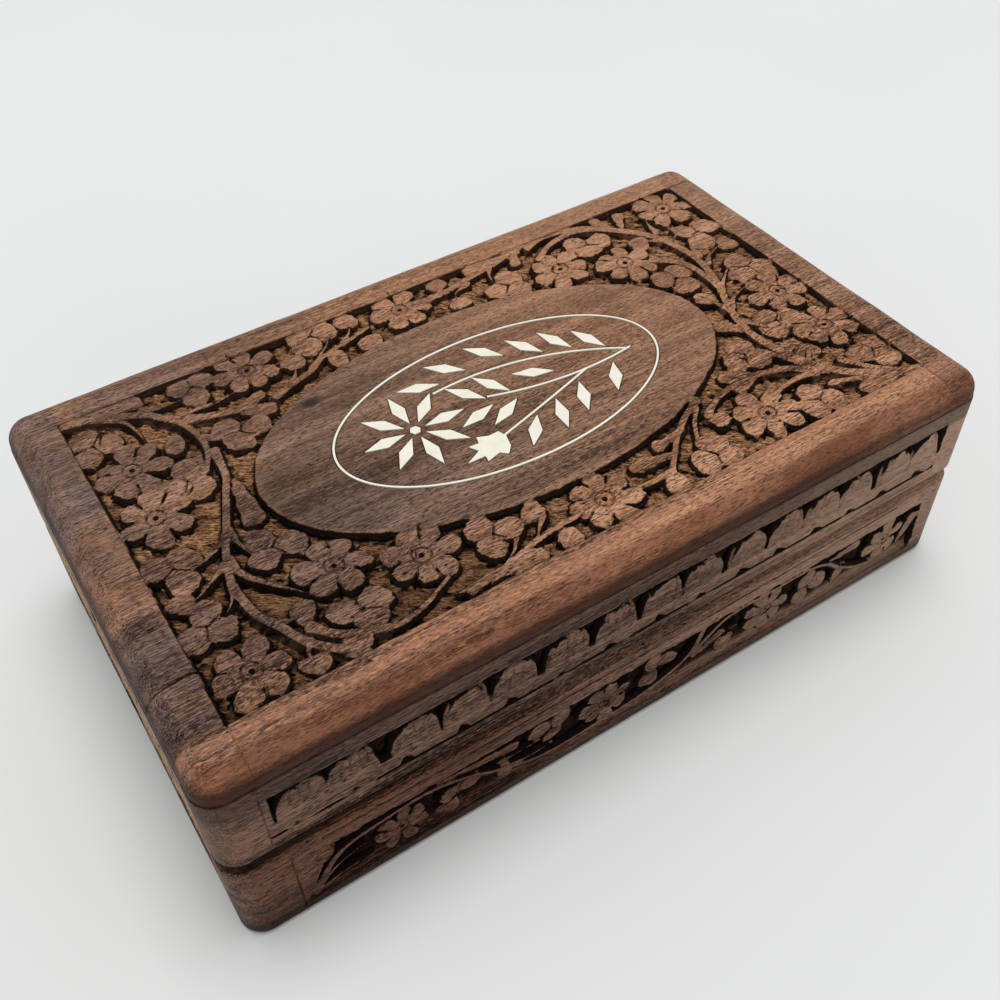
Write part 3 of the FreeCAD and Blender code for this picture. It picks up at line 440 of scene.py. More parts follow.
class Relief:
    """A height map over a rectangle: 0 is the uncut surface, and lower is deeper."""

    def __init__(self, xs, ys, seed):
        self.xs = xs
        self.ys = ys
        self.x, self.y = np.meshgrid(xs, ys)
        self.height = np.zeros(self.x.shape)
        self.ground = np.zeros(self.x.shape)
        self.scooped = np.zeros(self.x.shape)
        self.cuts = []
        self.rng = np.random.default_rng(seed)
        self.stray = STRAY_FINE * self.noise(1.0) + STRAY_BROAD * self.noise(3.2)

    def near(self, points, reach):
        """The part of the map within reach of some points."""
        points = np.array(points)
        low = points.min(0) - reach
        high = points.max(0) + reach
        columns = slice(*np.searchsorted(self.xs, (low[0], high[0])))
        rows = slice(*np.searchsorted(self.ys, (low[1], high[1])))
        return rows, columns

    def noise(self, cell):
        """A smooth random field whose lumps are about one cell wide."""
        spans = (np.ptp(self.ys), np.ptp(self.xs))
        cells = [max(1, int(width / cell)) for width in spans]
        return value_noise(self.rng, self.x.shape, cells)

    def chisel_ground(self, level):
        """A lumpy ground at one level, roughened by short strokes of a gouge."""
        self.ground[:] = level + 0.2 * self.noise(5.0) + 0.12 * self.noise(1.5)
        lean = 0.6 * self.noise(25.0)
        places_x = self.rng.uniform(*self.xs[[0, -1]], GOUGE_COUNT)
        places_y = self.rng.uniform(*self.ys[[0, -1]], GOUGE_COUNT)
        for x, y in zip(places_x, places_y):
            long = self.rng.uniform(*GOUGE_LONG)
            wide = self.rng.uniform(*GOUGE_WIDE)
            part = self.near([(x, y)], long)
            if not self.x[part].size:
                continue
            turn = lean[part][0, 0] + self.rng.uniform(-GOUGE_SPREAD, GOUGE_SPREAD) + GOUGE_TURN
            u, v = self.turned(part, x, y, turn)
            stroke = unit(1 - np.hypot(u / long, v / wide))
            self.ground[part] -= GOUGE_DEPTH * self.rng.uniform(0.4, 1.0) * np.sqrt(stroke)
        self.ground[:] = np.maximum(self.ground, level - GOUGE_DEEPEST)

    def sink(self, surface, inside):
        """Lower the surface to the ground where inside is over 0, and give back how far it went."""
        sunk = unit(0.5 + inside / WALL_WIDTH)
        self.height = surface + (self.ground - surface) * sunk
        return sunk

    def turned(self, part, x, y, turn):
        """Places on a part of the map, measured along and across a direction from a point."""
        dx = self.x[part] - x
        dy = self.y[part] - y
        return dx * math.cos(turn) + dy * math.sin(turn), dy * math.cos(turn) - dx * math.sin(turn)

    def stand(self, part, inside, level, rim=RIM_DROP, rough=1.0):
        """Raise a form to a level, with a rounded rim and a steep wall where inside is 0."""
        inside = inside + rough * self.stray[part]
        top = level - rim * ease(np.maximum(inside, 0), RIM_WIDTH)
        wall = unit(1 + inside / WALL_WIDTH)
        ground = self.ground[part]
        self.raise_to(part, ground + (top - ground) * wall, 0.0)

    def raise_to(self, part, level, scooped):
        """Raise what lies below a level, and note where that is a hollow slope."""
        over = level > self.height[part]
        self.height[part] = np.where(over, level, self.height[part])
        self.scooped[part] = np.where(over, scooped, self.scooped[part])

    def lobe(self, x, y, long, wide, turn, level, flare=0.0, rough=1.0):
        """One petal or bud, tilted at random; flare widens it towards the end that it points to."""
        part = self.near([(x, y)], max(long, wide * (1 + flare)) + MARGIN)
        u, v = self.turned(part, x, y, turn)
        width = wide * (1 + flare * np.clip(u / long, -1, 1))
        inside = (1 - np.hypot(u / long, v / width)) * min(long, wide)
        tilt = LOBE_TILT * (u * self.rng.uniform(-1, 1) + v * self.rng.uniform(-1, 1))
        self.stand(part, inside, level + tilt, RIM_DROP, rough)

    def along(self, line, radii, beyond=MARGIN):
        """Distance from a line, the half width there and how far it lies to the front, near the line."""
        part = self.near(line, max(radii) + beyond)
        x = self.x[part]
        y = self.y[part]
        distance = np.full(x.shape, FAR)
        half = np.ones(x.shape)
        facing = np.ones(x.shape)
        for start, end, thick, thin in zip(line, line[1:], radii, radii[1:]):
            dx, dy = end - start
            t = unit(((x - start[0]) * dx + (y - start[1]) * dy) / (dx * dx + dy * dy + TINY))
            off_x = x - start[0] - t * dx
            off_y = y - start[1] - t * dy
            here = np.hypot(off_x, off_y)
            nearer = here < distance
            distance = np.where(nearer, here, distance)
            half = np.where(nearer, thick + (thin - thick) * t, half)
            forward = (off_x * FRONT_WAY[0] + off_y * FRONT_WAY[1]) / (here + TINY)
            facing = np.where(nearer, forward, facing)
        return part, distance, half, facing

    def blade(self, root, tip, points):
        """A stem's line and its half width along it, which flares at the root."""
        line = smooth_line(points)
        share = np.linspace(0, 1, len(line))
        last = tip if tip >= BROAD_TIP else STEM_POINT
        steps = np.hypot(*np.diff(line, axis=0).T)
        flare = ROOT_FLARE * ease(np.append(0, np.cumsum(steps)), ROOT_REACH)
        return line, STEM_WIDTH * (root + (last - root) * share**0.9) + flare

    def scoop(self, root, tip, points, level):
        """The hollow slope from a stem's front edge down to the ground."""
        line, radii = self.blade(root, tip, points)
        part, distance, half, facing = self.along(line, radii, SCOOP_RUN)
        run = SCOOP_RUN * unit(facing) * np.minimum(half / SCOOP_FULL, 1)
        share = np.where(distance > half, unit(1 - (distance - half) / (run + 1e-6)), 0)
        ground = self.ground[part] - SCOOP_DEPTH * (share > 0)
        self.raise_to(part, ground + (level - ground) * share**1.6, unit(3 * share))

    def stem(self, root, tip, points, level):
        """A tapered blade, nearly flat, that leans to the front."""
        line, radii = self.blade(root, tip, points)
        part, distance, half, facing = self.along(line, radii)
        lean = STEM_LEAN * facing * unit(distance / half)
        self.stand(part, half - distance, level - lean, STEM_RIM, STEM_STRAY)

    def leaf(self, start, end, wide, level):
        """A leaf that widens from its stalk to a blunt round end, scored along its middle."""
        line = np.linspace(start, end, 8)
        radii = LEAF_STALK + (wide - LEAF_STALK) * np.linspace(0, 1, 8) ** 0.7
        part, distance, half, facing = self.along(line, radii)
        self.stand(part, half - distance, level - LEAF_LEAN * (1 + facing * unit(distance / half)))
        self.cuts.append((line[1:6], *LEAF_CUT))

    def flower(self, x, y, reach, level):
        """Round petals about a ringed eye with a drilled hole, parted by fine cuts that end in notches."""
        petals = 7 if self.rng.uniform() < SEVEN_PETALS else 6
        wide = PETAL_WIDE[petals]
        first = self.rng.uniform(0, math.tau)
        stray = self.rng.uniform(-PETAL_STRAY, PETAL_STRAY, petals)
        turns = first + math.tau * (np.arange(petals) + stray) / petals
        for turn in turns:
            size = self.rng.uniform(*PETAL_SIZES) * reach
            spread = PETAL_SPREAD * size
            petal_x = x + spread * math.cos(turn)
            petal_y = y + spread * math.sin(turn)
            drop = self.rng.uniform(0, PETAL_DROP)
            self.lobe(petal_x, petal_y, PETAL_LONG * size, wide * size, turn, level - drop, PETAL_FLARE)
        self.lobe(x, y, EYE_REACH * reach, EYE_REACH * reach, 0, level - EYE_DROP)
        for turn, following in zip(turns, np.append(turns[1:], turns[0] + math.tau)):
            middle = (turn + following) / 2
            way = np.array((math.cos(middle), math.sin(middle)))
            for near, far, half_width, depth in PETAL_CUTS:
                line = np.array([(x, y)]) + np.outer((near * reach, far * reach), way)
                self.cuts.append((line, half_width, depth))
        for share, half_width, depth in EYE_RINGS:
            self.cuts.append((ring(x, y, share * reach, share * reach), half_width, depth))
        self.cuts.append((np.array(((x - 0.05, y), (x + 0.05, y))), EYE_HOLE * reach, EYE_HOLE_DEPTH))

    def trefoil(self, lobes, size, level):
        """Three lobes fused about their middle, parted by fine cuts."""
        spots = np.array(lobes)
        middle = spots.mean(0)
        for spot in spots:
            away = spot - middle
            turn = math.atan2(away[1], away[0])
            long = size * self.rng.uniform(1.0, 1.2)
            wide = size * self.rng.uniform(0.92, 1.1)
            self.lobe(*(middle + 0.9 * away), long, wide, turn, level - self.rng.uniform(0, PETAL_DROP), 0.2)
        for first, second in ((0, 1), (1, 2), (2, 0)):
            gap = (spots[first] + spots[second]) / 2 - middle
            self.cuts.append((np.array((middle, middle + 2.0 * gap)), *SPRIG_CUT))

    def bud(self, x, y, size, level):
        """One round lobe at a random turn."""
        long = size * self.rng.uniform(1.0, 1.2)
        wide = size * self.rng.uniform(0.85, 1.0)
        self.lobe(x, y, long, wide, self.rng.uniform(0, math.tau), level - self.rng.uniform(0, 0.4), 0.2)

    def carve(self, layout, levels, bud_size, lobe_size, ringed):
        """Stand stems, leaves, buds, sprigs and flowers in the ground, each kind at its own level."""
        flowers, trefoils, buds, leaves, stems = layout
        for stem in stems:
            self.scoop(*stem, levels["stem"])
        for stem in stems:
            self.stem(*stem, levels["stem"])
        for leaf in leaves:
            self.leaf(*leaf, levels["leaf"])
        for x, y in buds:
            self.bud(x, y, bud_size, levels["bud"])
            if ringed:
                self.cuts.append((ring(x, y, bud_size, bud_size - 0.2), *BUD_CUT))
        for lobes in trefoils:
            self.trefoil(lobes, lobe_size, levels["trefoil"])
        for flower in flowers:
            self.flower(*flower, levels["flower"])

    def notch(self, x, low, high, half, depth):
        """A chip cut with a flat foot, deepest there and running out towards its point."""
        part = self.near([(x, low), (x, high)], half)
        share = unit((high - self.y[part]) / (high - low)) * (self.y[part] > low)
        width = half * share**0.6 + 1e-6
        across = unit(1 - abs(self.x[part] - x) / width)
        self.height[part] -= depth * share * np.sqrt(across)

    def score(self, points, half_width, depth):
        """A V-shaped cut along a line."""
        line = np.array(points, float)
        part, distance, _, _ = self.along(line, [half_width] * len(line))
        self.height[part] -= depth * unit(1 - distance / half_width)

    def make_cuts(self):
        """Score the fine cuts that the forms have asked for."""
        for cut in self.cuts:
            self.score(*cut)

    def tones(self, deepest, reach):
        """Shares from 0 to 1: how deep a place is, how far over its surroundings, and how steep."""
        depth = unit(self.height / deepest)
        lift = unit(0.5 + 0.5 * (self.height - blurred(blurred(self.height, reach), reach)))
        slopes = np.gradient(self.height, self.ys, self.xs)
        steep = unit(np.hypot(*slopes) / 1.8 - 0.25)
        return {"depth": depth, "lift": lift, "steep": steep, "scoop": self.scooped}


def make_mesh(name, points, faces):
    """A mesh from points in millimetres and a list of faces of any size."""
    mesh = bpy.data.meshes.new(name)
    mesh.vertices.add(len(points))
    mesh.vertices.foreach_set("co", (np.asarray(points) * MM).astype(np.float32).ravel())
    sizes = np.concatenate([np.full(len(group), group.shape[1]) for group in faces])
    corners = np.concatenate([group.ravel() for group in faces])
    starts = np.concatenate(([0], np.cumsum(sizes)[:-1]))
    mesh.loops.add(len(corners))
    mesh.loops.foreach_set("vertex_index", corners.astype(np.int32))
    mesh.polygons.add(len(sizes))
    mesh.polygons.foreach_set("loop_start", starts.astype(np.int32))
    mesh.update(calc_edges=True)
    mesh.validate()
    return mesh


def add_tones(mesh, tones):
    """Keep the relief's shares for the materials on the mesh's first points, and plain ones on the rest."""
    for name, values in tones.items():
        layer = mesh.attributes.new(name, "FLOAT", "POINT")
        rest = np.full(len(mesh.vertices) - values.size, 0.5 if name == "lift" else 0.0)
        layer.data.foreach_set("value", np.append(values.ravel(), rest).astype(np.float32))


def point_grid(rows, columns):
    """The numbers of the points of a grid."""
    return np.arange(rows * columns).reshape(rows, columns)


def quads(index):
    """The four-sided faces between the points of a grid."""
    return np.stack((index[:-1, :-1], index[:-1, 1:], index[1:, 1:], index[1:, :-1]), axis=-1).reshape(-1, 4)


def put(name, data):
    """A new object in the scene."""
    item = bpy.data.objects.new(name, data)
    bpy.context.scene.collection.objects.link(item)
    return item


def add_piece(mesh, body, material, node):
    """Put a mesh in the scene as a piece that rides on a body and stands for a CAD node."""
    piece = put(mesh.name, mesh)
    mesh.polygons.foreach_set("use_smooth", np.ones(len(mesh.polygons), bool))
    mesh.set_sharp_from_angle(angle=math.radians(SHARP_ANGLE))
    mesh.materials.append(material)
    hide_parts(node)
    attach(piece, body)
    return piece


def thin_out(mesh):
    """The mesh with fewer triangles where it is flat, within the limit for one piece."""
    triangles = sum(len(polygon.vertices) - 2 for polygon in mesh.polygons)
    if triangles <= MOST_TRIANGLES:
        return mesh
    name = mesh.name
    holder = put(f"{name}_thick", mesh)
    holder.modifiers.new("thin", "DECIMATE").ratio = MOST_TRIANGLES / triangles
    ready = holder.evaluated_get(bpy.context.evaluated_depsgraph_get())
    thinned = bpy.data.meshes.new_from_object(ready)
    bpy.data.objects.remove(holder)
    bpy.data.meshes.remove(mesh)
    thinned.name = name
    return thinned


def lid_relief():
    """The lid's top: border, sunk field with its carving, and plaque."""
    halves = PANEL_BOX_HIGH[:2] - CORNER_RADIUS
    xs, ys = [np.linspace(-half, half, int(2 * half / PANEL_STEP)) for half in halves]
    relief = Relief(xs, ys, SEED)
    relief.chisel_ground(GROUND)
    relief.rise = 1 - RIGHT_RISE * unit(relief.x / FIELD_HALF_X)
    relief.ground *= relief.rise
    wobble = 0.2 * relief.noise(2.0) + 0.2 * relief.noise(9.0)
    field = np.minimum(FIELD_HALF_X - abs(relief.x), FIELD_HALF_Y - abs(relief.y)) + wobble
    oval = np.hypot(relief.x / PLAQUE_HALF_X, relief.y / PLAQUE_HALF_Y)
    slope = np.hypot(relief.x / PLAQUE_HALF_X**2, relief.y / PLAQUE_HALF_Y**2)
    plaque = (1 - oval) * oval / np.maximum(slope, 1e-3) + wobble
    surface = SURFACE + 0.05 * relief.noise(20.0)
    surface -= FIELD_WEAR * ease(np.minimum(field, 0), WEAR_WIDTH) * (field < 1)
    surface -= PLAQUE_WEAR * ease(np.maximum(plaque, 0), WEAR_WIDTH) * (plaque > -1)
    relief.plaque = unit(0.5 + plaque)
    sunk = relief.sink(surface, np.minimum(field, -plaque))
    relief.carve(LID_LAYOUT, LID_LEVELS, BUD_RADIUS, TREFOIL_LOBE, False)
    relief.height -= sunk * (0.03 + 0.03 * relief.noise(1.4))
    free = unit(0.5 + field / WALL_WIDTH)
    border = np.maximum(relief.height, surface * (1 - free) + GROUND * free)
    relief.height = np.minimum(np.where(free < 1, border, relief.height), 0)
    relief.make_cuts()
    score_lid(relief)
    seat_inlay(relief)
    return relief


def score_lid(relief):
    """Scribed lines along the field that run past its corners, a crack and the rings of a knot."""
    past = 8.0
    for side in (-1, 1):
        x = side * (FIELD_HALF_X + 0.3)
        y = side * (FIELD_HALF_Y + 0.3)
        relief.score(((x, -FIELD_HALF_Y - past), (x, FIELD_HALF_Y + past * 0.4)), *FIELD_CUT)
        relief.score(((-FIELD_HALF_X - past, y), (FIELD_HALF_X + past, y)), *FIELD_CUT)
    relief.score(CRACK, *CRACK_CUT)
    for share in (0.35, 0.75):
        relief.score(ring(*KNOT, share * KNOT_HALF[0], share * KNOT_HALF[1]), *KNOT_CUT)


def seat_inlay(relief):
    """A fine dirty seam round each inlaid piece, along the edges of its top face."""
    relief.seam = np.zeros(relief.x.shape)
    for name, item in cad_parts.items():
        if not name.startswith("inlay"):
            continue
        corners = np.array([item.matrix_world @ vertex.co for vertex in item.data.vertices]) / MM
        for edge in item.data.edges:
            line = corners[list(edge.vertices)]
            if line[:, 2].min() > TOP - 0.01:
                part, distance, half, _ = relief.along(line[:, :2], [SEAM_WIDTH, SEAM_WIDTH])
                relief.seam[part] = np.maximum(relief.seam[part], 1 - distance / half)
    relief.height -= SEAM_DEPTH * relief.seam


def edge_loop(index):
    """Points round a grid in order, and the way out from each, fanned at the corners."""
    fan = 10
    quarter = math.pi / 2
    spots = []
    turns = []
    for number, side in enumerate((index[0], index[:, -1], index[-1, ::-1], index[::-1, 0])):
        heading = (number - 1) * quarter
        spots.extend(side[1:-1])
        turns.extend([heading] * (len(side) - 2))
        spots.extend([side[-1]] * (fan + 1))
        turns.extend(heading + quarter * np.arange(fan + 1) / fan)
    return np.array(spots), np.array(turns)


def rolled_edge(inner, turns, rng):
    """Rings of points from the edge of the lid's face round its worn, rounded side to its foot."""
    worn = value_noise(rng, (14, len(inner)), (3, 90))
    rings = []
    for step, roll in enumerate(np.linspace(0, math.pi / 2, 13)[1:]):
        out = CORNER_RADIUS * math.sin(roll) - EDGE_WEAR * (1 + worn[step]) * math.sin(2 * roll)
        down = np.full(len(inner), CORNER_RADIUS * (1 - math.cos(roll)))
        rings.append(inner + np.stack((out * np.cos(turns), out * np.sin(turns), -down), axis=-1))
    foot = rings[-1].copy()
    foot[:, 2] = PANEL_LOW
    return [*rings, foot]


def lid_panel():
    """The lid's top panel with its carved face and rounded edge."""
    relief = lid_relief()
    index = point_grid(*relief.height.shape)
    face = np.stack((relief.x, relief.y, TOP + relief.height), axis=-1).reshape(-1, 3)
    spots, turns = edge_loop(index)
    rings = rolled_edge(face[spots], turns, relief.rng)
    order = [spots, *(len(face) + point_grid(len(rings), len(spots)))]
    faces = [quads(index)]
    for upper, lower in zip(order, order[1:]):
        strip = np.stack((upper, lower, np.roll(lower, -1), np.roll(upper, -1)), axis=-1)
        pinched = strip[:, 0] == strip[:, 3]
        faces.append(strip[~pinched])
        faces.append(strip[pinched][:, :3])
    faces.append(order[-1][::-1][None, :])
    mesh = make_mesh("lid_top_carved", np.vstack([face, *rings]), faces)
    knot = np.hypot((relief.x - KNOT[0]) / KNOT_HALF[0], (relief.y - KNOT[1]) / KNOT_HALF[1])
    # Stain of the knot and of the dirty seam round the inlay, on the panel
    stain_and_painted_shade = np.maximum(ease(knot, 1.0), relief.seam)
    add_tones(mesh, {**relief.tones(GROUND * relief.rise, 4), "stain_and_painted_shade": stain_and_painted_shade, "plaque": relief.plaque})
    add_piece(thin_out(mesh), "lid", wood_panel, "lid_top_panel")


def lid_band(relief, long_rail):
    """The lid rails' band of lobes, its nicks and its scribed lines."""
    lobes = np.array(LOBES if long_rail else end_places(LOBES))
    nicks = np.array(NICKS if long_rail else end_places(NICKS))
    relief.ground[:] = BAND_GROUND + 0.2 * relief.noise(2.5)
    plain = 0.03 * relief.noise(6.0) - 0.05
    inside = np.minimum(LOBE_TOP - relief.y, relief.y - LOBE_FOOT)
    sides = np.minimum(relief.x - lobes[0] + LOBE_END, lobes[-1] + LOBE_END - relief.x)
    relief.sink(plain, np.minimum(inside, sides) + 0.5 * relief.stray)
    for x in lobes:
        for shift, up, long, tall in LOBE_ROUNDS:
            spread = relief.rng.uniform(1.0, 1.1) - 0.08 * x / HALF_LENGTH
            level = relief.rng.uniform(-0.15, -0.05)
            relief.lobe(x + shift, up, long * spread, tall * spread, 0, level, 0, 0.4)
        for flute in LOBE_FLUTES:
            relief.score(((x + flute, LOBE_FOOT + 4), (x + flute + 0.4, LOBE_TOP - 2.0)), *FLUTE_CUT)
    for x in nicks:
        half = NICK_HALF * relief.rng.uniform(0.75, 1.1)
        relief.notch(x, NICK_LOW, NICK_HIGH + relief.rng.uniform(-0.5, 0.3), half, NICK_DEPTH)
    end = HALF_LENGTH - SCRIBE_END if long_rail else relief.xs[-1]
    relief.score(((-end, LID_SCRIBE - 0.1), (0, LID_SCRIBE + 0.15), (end, LID_SCRIBE)), *LID_CUT)
    for up in LID_FAINT_SCRIBES:
        relief.score(((-end, up), (0.2 * end, up - 0.2), (end, up + 0.1)), *FAINT_CUT)
    for x in (-end - 0.5, end - 0.5):
        relief.score(((x, LID_SCRIBE - 3), (x, LOBE_TOP + 2)), *END_CUT)


def end_places(places):
    """The places that fit on an end rail, brought to its middle."""
    kept = [x for x in places if abs(x) < HALF_END - 6]
    middle = (kept[0] + kept[-1]) / 2
    return [x - middle for x in kept]


def base_band(relief, long_rail):
    """The base rails' sunk band with flowers and a vine, slanted at its ends."""
    ends = (BAND_LEFT, BAND_RIGHT) if long_rail else (END_BAND, END_BAND)
    rise = unit((relief.y - BAND_LOW) / BAND_SLOPE)
    relief.ground[:] = (BAND_GROUND + 0.2 * relief.noise(2.5)) * np.sqrt(rise)
    plain = 0.03 * relief.noise(6.0) - 0.05
    inside = np.minimum(BAND_HIGH - relief.y, relief.y - BAND_LOW)
    share = (relief.y - BAND_LOW) / (BAND_HIGH - BAND_LOW)
    limit = min(relief.xs[-1], HALF_LENGTH)
    for sign, (foot, top) in zip((1, -1), ends):
        inside = np.minimum(inside, sign * relief.x + limit - foot - (top - foot) * share)
    relief.sink(plain, inside + relief.stray)
    relief.carve(base_layout(long_rail), BASE_LEVELS, BASE_BUD, BASE_LOBE, True)
    relief.make_cuts()
    end = 0.8 * limit
    line = ((-end, BASE_SCRIBE), (0.2 * end, BASE_SCRIBE - 0.2), (end, BASE_SCRIBE + 0.3))
    relief.score(line, *BASE_CUT)
    if long_rail:
        for x in (SCRIBE_END + 2.5 - limit, limit - SCRIBE_END):
            relief.score(((x, 3.0), (x, BASE_SCRIBE)), *END_CUT)


def base_layout(long_rail):
    """The vine band's layout, or the stretch of it that fits on an end rail."""
    if long_rail:
        return BASE_LAYOUT
    room = HALF_END - END_BAND[0]
    flowers, trefoils, buds, leaves, stems = BASE_LAYOUT

    def moved(points):
        return [(x + END_SHIFT, up) for x, up in points]

    def fits(points):
        return max(abs(x) for x, _ in points) + 2 < room

    flowers = [(x + END_SHIFT, up, reach) for x, up, reach in flowers]
    flowers = [flower for flower in flowers if abs(flower[0]) + 0.7 * flower[2] < room]
    trefoils = [moved(lobes) for lobes in trefoils if fits(moved(lobes))]
    buds = [bud for bud in moved(buds) if fits([bud])]
    leaves = [(*moved(leaf[:2]), leaf[2]) for leaf in leaves if fits(moved(leaf[:2]))]
    runs = []
    for root, tip, points in stems:
        kept = [spot for spot in moved(points) if abs(spot[0]) < room]
        if len(kept) > 1:
            runs.append((root, tip, kept))
    return flowers, trefoils, buds, leaves, runs


def rail_grid(half_run, low, high, fine_low):
    """Places along and up a rail's outer face, closer together round its lower edge."""
    xs = np.linspace(-half_run, half_run, int(2 * half_run / RAIL_STEP))
    round_part = low + fine_low * (1 - np.cos(np.linspace(0, math.pi / 2, 7)))
    plain = np.linspace(low + fine_low, high, int((high - low) / RAIL_STEP))
    return xs, np.concatenate((round_part[:-1], plain))


def round_edge(up, radius):
    """How far a rounded edge falls back at a height over it."""
    rest = np.clip(radius - up, 0, radius)
    return radius - np.sqrt(radius**2 - rest**2)


def long_face(run, depth):
    """Plan of a long rail's outer skin: flat, round the corner, then along the end."""
    quarter = CORNER_RADIUS * math.pi / 2
    past = abs(run) - FLAT
    turn = np.clip(past, 0, quarter) / CORNER_RADIUS
    radius = CORNER_RADIUS - depth
    x = np.where(past < 0, run, np.sign(run) * (FLAT + radius * np.sin(turn)))
    y = CORNER_RADIUS - HALF_WIDTH - radius * np.cos(turn) + np.clip(past - quarter, 0, None)
    return x, y


def end_face(run, depth):
    """Plan of an end rail's outer skin, before it is turned to its side."""
    return run + 0 * depth, -HALF_LENGTH + depth


def drawn_in(run, limit, pace=1.0):
    """Places along a long rail, those past its flat part drawn in to a limit, and how far past they are."""
    past = unit((abs(run) - FLAT) / (abs(run).max() - FLAT))
    x = np.where(abs(run) < FLAT, run, np.sign(run) * (FLAT + (limit - FLAT) * unit(past * pace)))
    return x, past


def level_row(x, y, z):
    """A row of points at one height."""
    return np.stack((x, y + 0 * x, z + 0 * x), axis=-1)


def inside_rows(xs, long_rail, low, high, bevel, rebate, seat_level):
    """The rows that close a rail behind its skin, from its top round the inside to its bottom."""
    outer = -HALF_WIDTH if long_rail else -HALF_LENGTH
    inner = outer + WALL
    top_x = drawn_in(xs, HALF_LENGTH - bevel)[0] if long_rail else xs
    rows = [level_row(top_x, inner, high)]
    if rebate:
        foot_x, foot_y = rebate_line(xs, long_rail, inner - REBATE, inner)
        widest = abs(foot_x).max()
        rows.append(level_row(np.clip(top_x, -widest, widest), inner, low + REBATE))
        rows.append(level_row(foot_x, foot_y, low + REBATE))
        rows.append(level_row(foot_x, foot_y, low))
    else:
        rows.append(level_row(top_x, inner, low))
    if seat_level is None:
        return rows
    seat_rows = [level_row(top_x, inner - gap, seat_level) for gap in SEAT_GAPS]
    return [*seat_rows, *rows] if seat_level == high else [*rows, *seat_rows[::-1]]


def rebate_line(xs, long_rail, step, inner):
    """Plan of the rebate's edge: straight, and on a long rail turned back to the inner side at each end."""
    if not long_rail:
        return xs, step
    x, past = drawn_in(xs, HALF_LENGTH - WALL + REBATE, 4)
    return x, step + (inner - step) * unit((past * 4 - 1) / 3)


def cut_seats(points, body, level):
    """Let the hinge leaves into a back rail by moving the wood back from them."""
    half = (LEAF_HIGH[0] - LEAF_LOW[0]) / 2 + SEAT_FIT
    middle = (LEAF_HIGH[0] + LEAF_LOW[0]) / 2
    seat = (abs(abs(points[:, 0]) - middle) < half) & (points[:, 1] < SEAT_FIT - LEAF_LOW[1])
    if body == "base":
        points[seat, 2] = np.minimum(points[seat, 2], level - SEAT_DEPTH)
    else:
        points[seat, 2] = np.maximum(points[seat, 2], level + SEAT_DEPTH)


def make_rail(body, side, relief, fall, material):
    """A rail from its carved skin, closed behind and turned to its side of the box."""
    long_rail = side in LONG_SIDES
    rebate = body == "base"
    low, high = relief.ys[0], relief.ys[-1]
    relief.height = np.minimum(relief.height, 0)
    plan = long_face if long_rail else end_face
    x, y = plan(relief.x, fall - relief.height)
    skin = np.stack((x, y, relief.y), axis=-1)
    seat_level = {"base_back": high, "lid_back": low}.get(f"{body}_{side}")
    bevel = max(fall[-1].max() if rebate else 0.0, fall[0].max())
    rows = inside_rows(relief.xs, long_rail, low, high, bevel, rebate, seat_level)
    points = np.vstack([skin.reshape(-1, 3), *rows])
    if seat_level is not None:
        cut_seats(points, body, seat_level)
    columns = len(relief.xs)
    index = point_grid(len(points) // columns, columns)
    faces = [quads(np.vstack((index, index[:1]))), index[:, 0][None, :], index[::-1, -1][None, :]]
    spin = np.array(Matrix.Rotation(math.radians(SIDE_TURNS[side]), 3, "Z"))
    mesh = make_mesh(f"{body}_{side}_carved", points @ spin.T, faces)
    # Painted shade on the base's bevel, where the lid's rim overhangs it: it covers most of the bevel at the
    # left end
    start = BASE_TOP - BASE_BEVEL + np.interp(relief.x, (-HALF_LENGTH, -HALF_LENGTH / 2, 0), BEVEL_SHADE_RISE)
    stain_and_painted_shade = unit((relief.y - start) / 0.6) * (relief.y < high - 0.1) * (body == "base")
    add_tones(mesh, {**relief.tones(BAND_GROUND, 3), "stain_and_painted_shade": stain_and_painted_shade})
    add_piece(thin_out(mesh), body, material, f"{body}_{side}_rail")


def lid_rail(side, relief):
    """One carved rail of the lid, with a bevel at the hinges and a rounded rim elsewhere."""
    long_rail = side in LONG_SIDES
    lid_band(relief, long_rail)
    up = relief.y - LID_RIM
    fall = np.clip(LID_STOP_BEVEL - up, 0, None) if side == "back" else round_edge(up, LID_RIM_RADIUS)
    fall = fall + 0.15 * unit((relief.y - PANEL_LOW + 1.2) / 1.2) ** 2
    make_rail("lid", side, relief, fall, wood_lid if long_rail else wood_end_pale_and_lit)


def base_rail(side, relief):
    """One carved rail of the base, with a bevelled rim and a rounded foot."""
    long_rail = side in LONG_SIDES
    base_band(relief, long_rail)
    fall = np.clip(relief.y - BASE_TOP + BASE_BEVEL, 0, None) + round_edge(relief.y, FOOT_RADIUS)
    make_rail("base", side, relief, fall, wood_base if long_rail else wood_end_pale_and_lit)


def rails():
    """The four carved rails of the lid, then those of the base."""
    around_corner = CORNER_RADIUS * math.pi / 2 + WALL - CORNER_RADIUS
    lid_face = (LID_RIM, PANEL_LOW, LID_STOP_BEVEL)
    base_face = (0.0, BASE_TOP, FOOT_RADIUS)
    for make, face, first_seed in ((lid_rail, lid_face, SEED + 10), (base_rail, base_face, SEED + 20)):
        for number, side in enumerate(SIDE_TURNS):
            half_run = FLAT + around_corner if side in LONG_SIDES else HALF_END
            make(side, Relief(*rail_grid(half_run, *face), first_seed + number))


